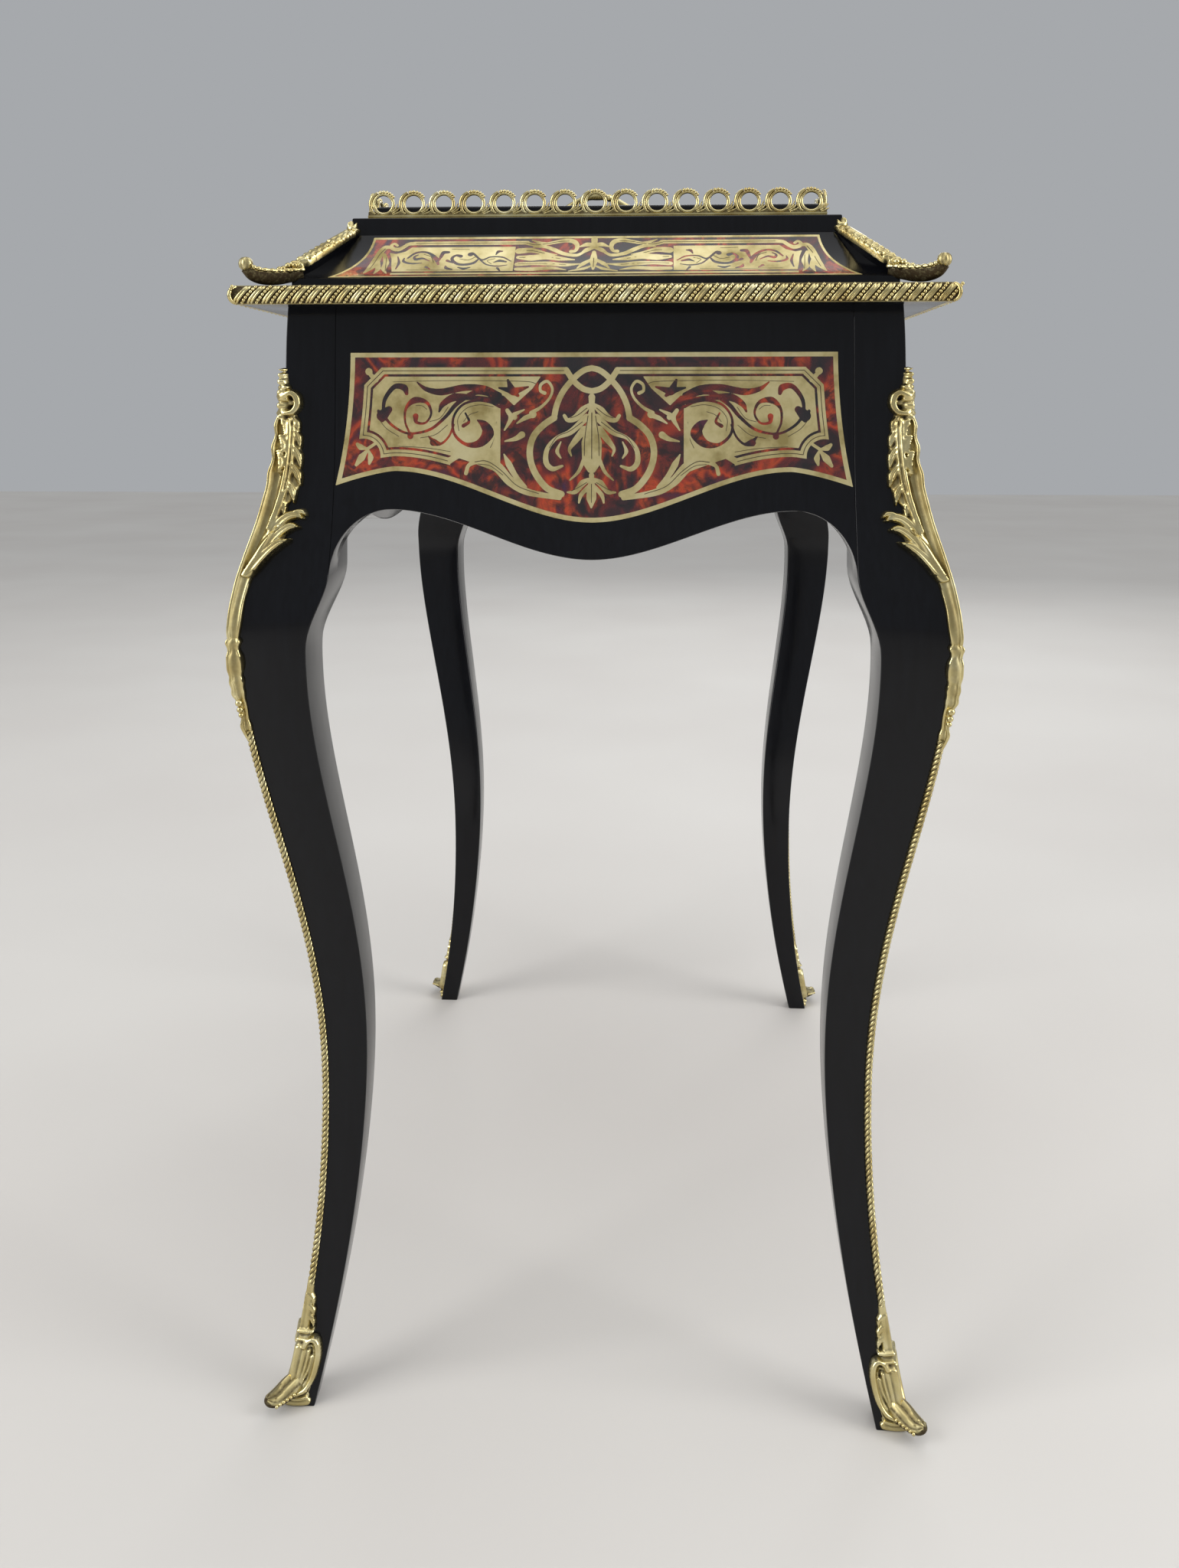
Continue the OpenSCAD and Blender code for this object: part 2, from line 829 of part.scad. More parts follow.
// Drawing
module side_node(n, k) {
  if (n == "frieze_rail") frieze_rail(k);
  if (n == "frieze_marquetry") frieze_marquetry(k);
  if (n == "slab_board") slab_board(k);
  if (n == "edge_moulding") edge_moulding(k);
  if (n == "cavetto_board") cavetto_board(k);
  if (n == "cavetto_marquetry") cavetto_marquetry(k);
  if (n == "cap_board") cap_board(k);
  if (n == "gallery") gallery(k);
}

module corner_node(n, k) {
  if (n == "leg") leg(k);
  if (n == "knee_mount") knee_mount(k);
  if (n == "arris_trim") arris_trim(k);
  if (n == "sabot") sabot(k);
  if (n == "corner_mount") corner_mount(k);
}

for (n = SIDE_NODES, k = [0:3])
  side_node(n, k);
for (n = CORNER_NODES, k = [0:3])
  corner_node(n, k);
bottom_board();
carcass_blocks();
zinc_liner();
lid_panel();
lid_cleats();
lid_handle(-1);  // lid_handle_front
lid_handle(1);  // lid_handle_back
handle_nuts();
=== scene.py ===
"""Jardiniere table: ebonised wood, brass and tortoiseshell marquetry and gilt bronze mounts.

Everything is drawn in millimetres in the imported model's frame and made into meshes in metres.
A side is drawn as the front one, with its face towards -Y; a corner is drawn pointing to +X and +Y.
"""

import math

import bpy
import numpy as np
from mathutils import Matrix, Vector
from mathutils.geometry import delaunay_2d_cdt


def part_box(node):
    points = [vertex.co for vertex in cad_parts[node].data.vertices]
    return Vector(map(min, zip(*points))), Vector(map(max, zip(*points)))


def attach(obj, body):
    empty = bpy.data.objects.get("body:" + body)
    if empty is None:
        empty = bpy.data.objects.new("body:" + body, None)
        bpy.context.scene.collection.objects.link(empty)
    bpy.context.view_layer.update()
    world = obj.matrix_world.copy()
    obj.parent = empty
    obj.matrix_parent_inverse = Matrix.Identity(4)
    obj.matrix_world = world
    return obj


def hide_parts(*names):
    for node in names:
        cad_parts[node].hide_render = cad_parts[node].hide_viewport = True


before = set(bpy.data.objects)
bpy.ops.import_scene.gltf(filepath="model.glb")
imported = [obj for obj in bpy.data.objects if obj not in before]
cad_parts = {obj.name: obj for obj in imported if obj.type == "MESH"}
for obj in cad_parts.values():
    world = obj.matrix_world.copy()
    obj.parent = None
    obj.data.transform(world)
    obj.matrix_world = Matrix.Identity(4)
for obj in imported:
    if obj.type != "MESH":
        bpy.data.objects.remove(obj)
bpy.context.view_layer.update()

MM = 0.001
SIDES = ["front", "right", "back", "left"]
CORNERS = ["front_left", "front_right", "back_right", "back_left"]


def named(kind, places):
    """Names of the CAD nodes of one kind, one per side or corner."""
    return [f"{kind}_{place}" for place in places]


# Sizes read from the frame
def low(node, axis):
    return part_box(node)[0][axis] / MM


def high(node, axis):
    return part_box(node)[1][axis] / MM


def leg_stations():
    """Height, outer face and inner face of the leg at each of its stations, read where its
    four arrises meet the corner's diagonal."""
    points = np.array([v.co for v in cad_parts["leg_back_right"].data.vertices]) / MM
    x, y, z = points.T
    diagonal = np.abs(x - y + y.max() - x.max()) < 0.1
    heights = sorted({round(float(h), 1) for h in z[diagonal]})
    rows = [(h, x[diagonal & (np.abs(z - h) < 0.1)]) for h in heights]
    return np.array([(h, here.max(), here.min()) for h, here in rows if len(set(here)) > 1]).T


X, Y, Z = 0, 1, 2
STATION_Z, STATION_OUT, STATION_IN = leg_stations()
LEG_H = high("leg_back_right", Z)
SLAB_HALF = high("slab_board_front", X)
SLAB_TOP = high("slab_board_front", Z)
EXTRA = -low("slab_board_front", Y) - SLAB_HALF
MOULD_HALF = high("edge_moulding_front", X)
COVE_HALF = high("cavetto_board_front", X)
COVE_TOP = high("cavetto_board_front", Z)
CAP_HALF = high("cap_board_front", X)
CAP_TOP = high("cap_board_front", Z)
WELL_HALF = -high("cap_board_front", Y) - EXTRA
GALLERY_HALF = high("gallery_front", X)
LID_HALF = high("lid_panel", X)
LID_TOP = high("lid_panel", Z)
PANEL_TOP = high("frieze_marquetry_front", Z)
PANEL_LOW = low("frieze_marquetry_front", Z)
EAR_Z = low("frieze_rail_front", Z)
TRIM_TOP = high("arris_trim_front_left", Z)
SABOT_H = high("sabot_front_left", Z)
STILE_IN = STATION_IN[-1]
KNEE_Z = STATION_Z[np.argmax(STATION_OUT)]
KNEE_IN = STATION_IN[np.argmax(STATION_OUT)]
COVE_RUN = COVE_HALF - CAP_HALF

# Sizes that the frame doesn't give by itself: the rail's thickness below the height where its
# back steps in, its back above it, that height, the heights of the lower edge at the arch's top
# and in the middle, and the arch's width
RAIL_T = 22
RAIL_BACK = 173.5
THIN_Z = 595
ARCH_Z = 589
CENTRE_Z = 558
ARCH_W = 38
# The frieze panel's lower edge at its shoulder and tip, and its upper corner
SHOULDER_IN = 40
SHOULDER_RISE = 32.5
TIP_IN = 1
TIP_RISE = 23
CORNER_IN = 10
# The cavetto's hollow: its radius, where its centre lies and the angle that it starts at
HOLLOW_R = 70
HOLLOW_OUT = math.sqrt(HOLLOW_R ** 2 / 2 - (COVE_RUN / 2) ** 2) - COVE_RUN / 2
HOLLOW_FOOT = math.asin(HOLLOW_OUT / HOLLOW_R)
COVE_ARC = HOLLOW_R * (math.pi / 2 - 2 * HOLLOW_FOOT)
# Roundings of a leg's outer arris, sides and inner arris, and of a rail's lower edge
LEG_EDGES = [0.8, 1.2, 2.0, 1.2]
RAIL_EDGE = 1.2
# Share of a distance across a corner's diagonal that falls on each axis
DIAGONAL = 0.707
# Right on an arris a form stands out along the diagonal, by this share of its height on each axis
LEAN = 0.72
# Angles from which faces meet in a sharp line: on mouldings and on castings
MOULDED = 30
CAST = 60


def mix(a, b, t):
    return a + (b - a) * t


def ease(t):
    return t * t * (3 - 2 * t)


def smooth_between(knots, values):
    """A smooth curve through the knots, as a function that takes numbers or arrays."""
    slope = np.gradient(values, knots)

    def curve(z):
        z = np.clip(np.asarray(z, float), knots[0], knots[-1])
        i = np.clip(np.searchsorted(knots, z) - 1, 0, len(knots) - 2)
        step = knots[i + 1] - knots[i]
        t = (z - knots[i]) / step
        return (values[i] * (1 + 2 * t) * (1 - t) ** 2 + values[i + 1] * t * t * (3 - 2 * t)
                + step * (slope[i] * t * (1 - t) ** 2 + slope[i + 1] * t * t * (t - 1)))
    return curve


face = smooth_between(STATION_Z, STATION_OUT)
shank = smooth_between(STATION_Z, STATION_IN)


def inner(z):
    """Inner faces of the leg, which run on from the arch of the rail."""
    t = np.clip((z - KNEE_Z) / (EAR_Z + 2 - KNEE_Z), 0, 1)
    return np.where(z < KNEE_Z, shank(z), mix(KNEE_IN, STILE_IN, ease(t)))


def hollow(v, out=0.0):
    """The cavetto at an arc length up from its foot: how far out it lies, its height, and the
    sine and cosine of its slope."""
    a = HOLLOW_FOOT + np.asarray(v, float) / HOLLOW_R
    r = HOLLOW_R - out
    return (COVE_HALF + HOLLOW_OUT - r * np.sin(a), COVE_TOP + HOLLOW_OUT - r * np.cos(a),
            np.sin(a), np.cos(a))


# Frames of the sides and corners
def spare(k):
    return EXTRA if k % 2 else 0


def to_side(points, k):
    """Points of side k, drawn as the front one of a square case."""
    p = np.array(points, float)
    if k % 2 == 0:
        p[:, Y] -= EXTRA
    c, s = [(1, 0), (0, 1), (-1, 0), (0, -1)][k]
    return np.stack([c * p[:, X] - s * p[:, Y], s * p[:, X] + c * p[:, Y], p[:, Z]], 1)


def to_corner(points, k):
    """Points of corner k, drawn pointing to +X and +Y."""
    p = np.array(points, float)
    p[:, Y] += EXTRA
    if k in (0, 3):
        p[:, X] *= -1
    if k < 2:
        p[:, Y] *= -1
    return p


# Meshes
def placed(name, data):
    """A new object in the scene."""
    made = bpy.data.objects.new(name, data)
    bpy.context.scene.collection.objects.link(made)
    return made


class Solid:
    """Closed shells, gathered as points in millimetres and faces."""

    def __init__(self):
        self.points, self.faces, self.count = [], [], 0
        self.values = []

    def add(self, points, faces, value=0.0):
        """Adds a closed shell, turned so that its faces point outwards."""
        points = np.asarray(points, float)
        faces = [tuple(int(v) for v in f) for f in faces]
        if volume(points, faces) < 0:
            faces = [f[::-1] for f in faces]
        self.faces += [tuple(v + self.count for v in f) for f in faces]
        self.points.append(points)
        self.values.append(np.broadcast_to(np.asarray(value, float), (len(points),)))
        self.count += len(points)
        return self

    def mesh(self, name):
        """The shells as one mesh, in metres, with their values as the attribute of dirt and painted
        shade.
        """
        mesh = bpy.data.meshes.new(name)
        mesh.from_pydata(np.concatenate(self.points) * MM, [], self.faces)
        recess = mesh.attributes.new("recess", "FLOAT", "POINT")
        recess.data.foreach_set("value", np.concatenate(self.values).astype(np.float32))
        return mesh

    def make(self, name, material, body="root", slot=None, replaces=(), crease=40):
        """The finished piece, which rides on its body and stands for the CAD nodes named."""
        mesh = self.mesh(name)
        mesh.materials.append(material)
        mesh.shade_smooth()
        mesh.set_sharp_from_angle(angle=math.radians(crease))
        mesh.update()
        return settle(placed(name, mesh), body, replaces)


def settle(piece, body, replaces=()):
    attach(piece, body)
    if replaces:
        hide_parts(*replaces)
    return piece


def volume(points, faces):
    total = 0.0
    sizes = {len(f) for f in faces}
    for n in sizes:
        f = np.array([g for g in faces if len(g) == n])
        a = points[f[:, 0]]
        for i in range(1, n - 1):
            total += np.einsum("ij,ij->i", a, np.cross(points[f[:, i]], points[f[:, i + 1]])).sum()
    return total


def ring_faces(rings, sides, closed=False):
    """Quads between rings of points that follow each other, with a cap at each end."""
    faces = []
    steps = rings if closed else rings - 1
    for i in range(steps):
        a, b = i * sides, (i + 1) % rings * sides
        for j in range(sides):
            j1 = (j + 1) % sides
            faces.append((a + j, a + j1, b + j1, b + j))
    if not closed:
        faces.append(tuple(range(sides))[::-1])
        faces.append(tuple(range((rings - 1) * sides, rings * sides)))
    return faces


def loft(rings, closed=False):
    """Points and faces of a shell through rings of equally many points."""
    rings = [np.asarray(r, float) for r in rings]
    return np.concatenate(rings), ring_faces(len(rings), len(rings[0]), closed)


def bent(start, corner, end, t):
    """A point of the curve that leaves start towards the corner and ends at end."""
    return (1 - t) ** 2 * start + 2 * t * (1 - t) * corner + t * t * end


def spread(values, share):
    """Values given evenly along a line, read at the shares of its length."""
    return np.interp(share, np.linspace(0, 1, len(values)), values)


def rounded(corners, radius, steps=4):
    """A closed outline with its corners rounded, each by its own radius."""
    corners = np.array(corners, float)
    radii = np.broadcast_to(np.asarray(radius, float), (len(corners),))
    out = []
    for i, p in enumerate(corners):
        a, b = corners[i - 1] - p, corners[(i + 1) % len(corners)] - p
        a, b = a / np.linalg.norm(a), b / np.linalg.norm(b)
        if radii[i] == 0:
            out.append(p)
            continue
        half = math.acos(max(-1, min(1, float(a @ b)))) / 2
        reach = radii[i] / math.tan(half)
        start, end = p + a * reach, p + b * reach
        out += [bent(start, p, end, t) for t in np.linspace(0, 1, steps + 1)]
    return np.array(out)


def oblong(w, d, radius, steps=4):
    """A rounded oblong round the middle, from its half-width and half-depth."""
    return rounded([(-w, -d), (w, -d), (w, d), (-w, d)], radius, steps)


def full_turn(count):
    """Angles evenly spaced round a circle."""
    return np.arange(count) / count * 2 * math.pi


def spline(points, per=8):
    """A smooth line through the points, with so many steps from each to the next."""
    p = np.array(points, float)
    if len(p) == 2:
        return np.array([mix(p[0], p[1], t) for t in np.linspace(0, 1, per + 1)])
    ends = np.concatenate([[2 * p[0] - p[1]], p, [2 * p[-1] - p[-2]]])
    out = []
    for a, b, c, d in zip(ends, ends[1:], ends[2:], ends[3:]):
        for t in np.arange(per) / per:
            out.append(0.5 * (2 * b + (c - a) * t + (2 * a - 5 * b + 4 * c - d) * t * t
                              + (3 * b - a - 3 * c + d) * t ** 3))
    return np.array(out + [p[-1]])


def tube(path, radii, sides, normal=(0.3, 0.5, 0.8)):
    """Rings round a path that starts with the normal upwards; radii is one for each point."""
    path = np.array(path, float)
    radii = np.broadcast_to(np.asarray(radii, float), (len(path),))
    tangents = np.gradient(path, axis=0)
    up = np.array(normal, float)
    rings = []
    for p, t, r in zip(path, tangents, radii):
        t = t / np.linalg.norm(t)
        side = np.cross(up, t)
        side /= np.linalg.norm(side)
        up = np.cross(t, side)
        angles = np.arange(sides) * 2 * math.pi / sides
        rings.append([p + r * (side * math.cos(a) + up * math.sin(a)) for a in angles])
    return rings


# Drawing: shapes are signed distances on a fine grid, negative inside
class Sheet:
    """A drawing board for half of a symmetrical drawing, from its middle line outwards."""

    FAR = 9.0

    def __init__(self, width, low_edge, high_edge, step):
        self.step = step
        self.x = np.arange(0, width + step, step)
        self.y = np.arange(low_edge, high_edge + step, step)
        self.X, self.Y = np.meshgrid(self.x, self.y)
        self.bent = self.Y

    def empty(self):
        return np.full(self.X.shape, self.FAR)

    def line(self, points, widths, shift=0.0, curved=True):
        """A stroke through the points with the half-widths given along it: its signed distance,
        the distance from its middle over its half-width, and how far along it lies."""
        points = np.array(points, float) + (shift, 0)
        path = spline(points) if curved else points
        share = np.linspace(0, 1, len(path))
        half = spread(widths, share)
        signed, across, along = self.empty(), self.empty(), np.zeros(self.X.shape)
        reach = half.max() + 2.5
        for i in range(len(path) - 1):
            (ax, ay), (bx, by) = path[i], path[i + 1]
            cols = slice(*np.searchsorted(self.x, [min(ax, bx) - reach, max(ax, bx) + reach]))
            rows = np.abs(self.bent[:, cols] - (ay + by) / 2) < abs(by - ay) / 2 + reach
            rows = rows.any(1).nonzero()[0]
            if cols.start == cols.stop or not len(rows):
                continue
            box = (slice(rows[0], rows[-1] + 1), cols)
            dx, dy = bx - ax, by - ay
            px, py = self.X[box] - ax, self.bent[box] - ay
            t = np.clip((px * dx + py * dy) / max(dx * dx + dy * dy, 1e-9), 0, 1)
            d = np.hypot(px - t * dx, py - t * dy)
            w = mix(half[i], half[i + 1], t)
            nearer = d - w < signed[box]
            signed[box] = np.where(nearer, d - w, signed[box])
            across[box] = np.where(nearer, d / np.maximum(w, 1e-3), across[box])
            along[box] = np.where(nearer, mix(share[i], share[i + 1], t), along[box])
        return signed, across, along

    def stroke(self, points, widths, **how):
        return self.line(points, widths, **how)[0]

    def polygon(self, points, bent=True):
        """The signed distance to a closed outline."""
        p = np.array(points, float)
        y = self.bent if bent else self.Y
        nearest, odd = self.empty() * 10, np.zeros(self.X.shape, bool)
        for (ax, ay), (bx, by) in zip(p, np.roll(p, -1, axis=0)):
            dx, dy = bx - ax, by - ay
            px, py = self.X - ax, y - ay
            t = np.clip((px * dx + py * dy) / max(dx * dx + dy * dy, 1e-9), 0, 1)
            nearest = np.minimum(nearest, np.hypot(px - t * dx, py - t * dy))
            if ay != by:
                crosses = (ay > y) != (by > y)
                odd ^= crosses & (self.X < ax + (y - ay) / dy * dx)
        return np.where(odd, -nearest, nearest)

    def whole(self, field):
        """The drawing with its mirror image: x, y and the field."""
        x = np.concatenate([-self.x[:0:-1], self.x])
        return x, self.y, np.concatenate([field[:, :0:-1], field], 1)


def both(*fields):
    return np.minimum.reduce(fields)


def within(*fields):
    return np.maximum.reduce(fields)


def sample(x, y, field, points):
    """The field at the points, between its grid values."""
    u = np.clip((points[:, 0] - x[0]) / (x[1] - x[0]), 0, len(x) - 1.001)
    v = np.clip((points[:, 1] - y[0]) / (y[1] - y[0]), 0, len(y) - 1.001)
    j, i = u.astype(int), v.astype(int)
    u, v = u - j, v - i
    return ((field[i, j] * (1 - u) + field[i, j + 1] * u) * (1 - v)
            + (field[i + 1, j] * (1 - u) + field[i + 1, j + 1] * u) * v)


# Each case of a cell's corners that lie inside, and the outline's steps through it
BOTTOM, RIGHT, TOP, LEFT = range(4)
STEPS = {1: [(BOTTOM, LEFT)], 2: [(RIGHT, BOTTOM)], 3: [(RIGHT, LEFT)], 4: [(TOP, RIGHT)],
         5: [(BOTTOM, LEFT), (TOP, RIGHT)], 6: [(TOP, BOTTOM)], 7: [(TOP, LEFT)],
         8: [(LEFT, TOP)], 9: [(BOTTOM, TOP)], 10: [(RIGHT, BOTTOM), (LEFT, TOP)],
         11: [(RIGHT, TOP)], 12: [(LEFT, RIGHT)], 13: [(BOTTOM, RIGHT)], 14: [(LEFT, BOTTOM)]}


def contours(x, y, field, tolerance):
    """The closed outlines of where the field is negative, with few points."""
    field = np.pad(field, 1, constant_values=1.0)
    step = x[1] - x[0]
    inside = field < 0
    rows, cols = field.shape
    case = (inside[:-1, :-1] * 1 + inside[:-1, 1:] * 2 + inside[1:, 1:] * 4 + inside[1:, :-1] * 8)
    follow = {}
    for i, j in zip(*((case > 0) & (case < 15)).nonzero()):
        edge = (i * cols + j, -(i * cols + j + 1) - 1, (i + 1) * cols + j, -(i * cols + j) - 1)
        for a, b in STEPS[case[i, j]]:
            follow[edge[a]] = edge[b]

    def place(e):
        upright = e < 0
        i, j = divmod(-e - 1 if upright else e, cols)
        i1, j1 = (i + 1, j) if upright else (i, j + 1)
        a, b = field[i, j], field[i1, j1]
        t = a / (a - b)
        return (x[0] + (j - 1 + (j1 - j) * t) * step, y[0] + (i - 1 + (i1 - i) * t) * step)

    loops = []
    while follow:
        start = next(iter(follow))
        chain, e = [], start
        while e in follow:
            chain.append(place(e))
            e = follow.pop(e)
        if len(chain) > 5:
            loops.append(simplified(np.array(chain), tolerance))
    return [loop for loop in loops if len(loop) > 2]


def simplified(loop, tolerance):
    """A closed line without the points that lie within the tolerance of the rest."""
    n = len(loop)
    far = int(np.argmax(((loop - loop[0]) ** 2).sum(1)))
    keep = np.zeros(n + 1, bool)
    keep[[0, far]] = True
    ring = np.vstack([loop, loop[:1]])
    stack = [(0, far), (far, n)]
    while stack:
        a, b = stack.pop()
        if b - a < 2:
            continue
        d = ring[b] - ring[a]
        off = ring[a + 1:b] - ring[a]
        length = math.hypot(*d)
        away = (np.abs(off[:, 0] * d[1] - off[:, 1] * d[0]) / length if length > 1e-9
                else np.hypot(off[:, 0], off[:, 1]))
        i = int(np.argmax(away))
        if away[i] > tolerance:
            keep[a + 1 + i] = True
            stack += [(a, a + 1 + i), (a + 1 + i, b)]
    return loop[keep[:n]]


def cut_out(x, y, field, pitch, tolerance=0.05):
    """Triangles that fill the drawing where the field is negative, and the steps of its rim."""
    points, edges = [], []
    for loop in contours(x, y, field, tolerance):
        n = len(points)
        points += [tuple(p) for p in loop]
        edges += [(n + i, n + (i + 1) % len(loop)) for i in range(len(loop))]
    gx, gy = np.meshgrid(np.arange(x[0], x[-1], pitch), np.arange(y[0], y[-1], pitch * 0.87))
    gx[1::2] += pitch / 2
    grid = np.stack([gx.ravel(), gy.ravel()], 1)
    grid = grid[sample(x, y, field, grid) < -0.45 * pitch]
    points += [tuple(p) for p in grid]
    verts, _, tris, *_ = delaunay_2d_cdt(points, edges, [], 0, 1e-6)
    verts, tris = np.array([tuple(v) for v in verts]), np.array(tris)
    tris = tris[sample(x, y, field, verts[tris].mean(1)) < 0]
    used, tris = np.unique(tris, return_inverse=True)
    verts, tris = verts[used], tris.reshape(-1, 3)
    sides = np.concatenate([tris[:, [0, 1]], tris[:, [1, 2]], tris[:, [2, 0]]])
    seen = {tuple(s) for s in sides.tolist()}
    rim = [(a, b) for a, b in seen if (b, a) not in seen]
    return verts, tris, rim


def add_sheet(solid, cut, place, top, bottom, value=0.0):
    """Adds a thin shell over the cut-out: place(points, out) puts it on its surface."""
    verts, tris, rim = cut
    n = len(verts)
    points = np.concatenate([place(verts, top), place(verts, bottom)])
    faces = [tuple(t) for t in tris.tolist()] + [(c + n, b + n, a + n) for a, b, c in tris.tolist()]
    faces += [(b, a, a + n, b + n) for a, b in rim]
    values = np.concatenate([np.broadcast_to(value, (n,)), np.zeros(n)])
    solid.add(points, faces, values)


def add_ribbon(solid, path, half, place, top, bottom):
    """Adds a thin engraved line along a path, with the half-widths given along it."""
    path = np.array(path, float)
    half = spread(half, np.linspace(0, 1, len(path)))
    t = np.gradient(path, axis=0)
    t /= np.maximum(np.hypot(t[:, 0], t[:, 1]), 1e-9)[:, None]
    across = np.stack([-t[:, 1], t[:, 0]], 1) * half[:, None]
    a, b = path + across, path - across
    rings = np.stack([place(a, top), place(b, top), place(b, bottom), place(a, bottom)], 1)
    solid.add(*loft(rings))


# Where drawings lie
def beside_arris(s, line, out, z, reach, k):
    """Points at a distance s from an arris of corner k that lies at line, on one face or the
    other. The nearer it is within the reach, the more it stands out along the diagonal."""
    d = np.abs(s)
    near = np.clip(1 - d / reach, 0, 1) ** 2
    facing = line + out * (1 - (1 - LEAN) * near)
    across = line - d + out * LEAN * near
    first = s >= 0
    return to_corner(np.stack([np.where(first, facing, across),
                               np.where(first, across, facing), z], 1), k)


def on_frieze(k):
    """Places points of (x, z) on the curved face of the frieze."""
    def place(points, out):
        x, z = points.T
        return to_side(np.stack([x, -(face(z) + out), z], 1), k)
    return place


def on_cavetto(k):
    """Places points of (x, arc length from the foot) on the cavetto."""
    def place(points, out):
        x, v = points.T
        outwards, z, _, _ = hollow(v, out)
        return to_side(np.stack([x, -outwards, z], 1), k)
    return place


def on_arris(k):
    """Places points of (distance from the arris, z) on both faces of the leg."""
    def place(points, out):
        s, z = points.T
        slope = face(z + 0.5) - face(z - 0.5)
        lifted = np.maximum(z - out * slope * 0.6, 0)
        return beside_arris(s, face(z), out, lifted, 6, k)
    return place


# Materials
def linear(colour):
    """An sRGB hex colour as linear RGBA."""
    rgb = [int(colour[i:i + 2], 16) / 255 for i in (1, 3, 5)]
    return [c / 12.92 if c <= 0.04045 else ((c + 0.055) / 1.055) ** 2.4 for c in rgb] + [1.0]


def add(tree, kind, inputs=None, **settings):
    """Adds a node with its settings, and its inputs as values or as links."""
    made = tree.nodes.new(kind)
    for name, value in settings.items():
        setattr(made, name, value)
    for name, value in (inputs or {}).items():
        if isinstance(value, bpy.types.Node):
            value = value.outputs[0]
        if isinstance(value, bpy.types.NodeSocket):
            tree.links.new(value, made.inputs[name])
        else:
            made.inputs[name].default_value = value
    return made


def material(name, values=None):
    """A material whose shader has the values given, with its tree and shader."""
    made = bpy.data.materials.new(name)
    made.use_nodes = True
    made.node_tree.nodes.clear()
    tree = made.node_tree
    shader = add(tree, "ShaderNodeBsdfPrincipled", values)
    add(tree, "ShaderNodeOutputMaterial", {"Surface": shader})
    return made, tree, shader


def ramp(tree, factor, stops):
    """A colour ramp over (place, colour) stops."""
    made = add(tree, "ShaderNodeValToRGB", {"Fac": factor})
    elements = made.color_ramp.elements
    while len(elements) < len(stops):
        elements.new(0.5)
    for element, (place, colour) in zip(elements, stops):
        element.position = place
        element.color = linear(colour) if isinstance(colour, str) else [colour] * 3 + [1]
    return made


def scaled(tree, scale):
    """Object coordinates, stretched along each axis so that a pattern takes a real size."""
    coords = add(tree, "ShaderNodeTexCoord")
    return add(tree, "ShaderNodeMapping", {"Vector": coords.outputs["Object"], "Scale": scale})


def noise(tree, size_mm, detail=4.0, roughness=0.55, stretch=(1, 1, 1), distortion=0.0):
    """Noise whose features are about so large, times the stretch along each axis."""
    scale = [1000 / (size_mm * s) for s in stretch]
    return add(tree, "ShaderNodeTexNoise", {
        "Vector": scaled(tree, scale), "Scale": 1.0, "Detail": detail, "Roughness": roughness,
        "Distortion": distortion})


def bump(tree, shader, height, depth_mm, normal=None):
    """Gives the shader a relief of the depth given, over another one's normal if there is one."""
    inputs = {"Height": height, "Distance": depth_mm * MM, "Strength": 1.0}
    if normal:
        inputs["Normal"] = normal
    made = add(tree, "ShaderNodeBump", inputs)
    tree.links.new(made.outputs["Normal"], shader.inputs["Normal"])
    return made


def to(tree, shader, name, value):
    tree.links.new(value.outputs[0], shader.inputs[name])


def blended(tree, shader, share, first, second, **how):
    """Colours the shader with a blend of two colours."""
    mixed = add(tree, "ShaderNodeMix", {0: share, 6: first, 7: second}, data_type="RGBA", **how)
    tree.links.new(mixed.outputs[2], shader.inputs["Base Color"])


def ebonised_wood():
    """Pearwood stained black under French polish: a deep, slightly blue gloss that shows a
    trace of the grain and the soft waves of hand polishing."""
    made, tree, shader = material("ebonised_pearwood_french_polish", {
        "IOR": 1.32, "Coat Weight": 0.08, "Coat Roughness": 0.06, "Coat IOR": 1.4})
    grain = noise(tree, 3, detail=5, stretch=(1, 1, 12))
    clouds = noise(tree, 60, detail=2)
    tone = ramp(tree, grain, [(0.3, "#060609"), (0.7, "#0b0c10")])
    to(tree, shader, "Base Color", tone)
    to(tree, shader, "Roughness", ramp(tree, clouds, [(0.3, 0.12), (0.75, 0.24)]))
    waves = noise(tree, 14, detail=1)
    first = bump(tree, shader, waves, 0.06)
    bump(tree, shader, grain, 0.012, normal=first)
    return made


def tortoiseshell():
    """Turtle shell over a red ground, polished: clear amber and red with smoky brown and
    purple blotches that run into each other."""
    made, tree, shader = material("red_backed_tortoiseshell", {
        "Coat Weight": 0.6, "Coat Roughness": 0.08, "IOR": 1.55})
    broad = noise(tree, 46, detail=3, roughness=0.6, distortion=1.2)
    fine = noise(tree, 13, detail=5, roughness=0.65, distortion=0.8)
    colour = ramp(tree, broad, [(0.30, "#120a10"), (0.41, "#2c0e16"), (0.49, "#5e1712"),
                                (0.56, "#a84210"), (0.61, "#581514"), (0.70, "#341440")])
    clouds = ramp(tree, fine, [(0.40, "#1a0c16"), (0.51, "#e8d8d0"), (0.66, "#ffb070")])
    blended(tree, shader, 0.85, colour, clouds, blend_type="MULTIPLY")
    to(tree, shader, "Roughness", ramp(tree, fine, [(0.3, 0.2), (0.7, 0.32)]))
    bump(tree, shader, broad, 0.05)
    return made


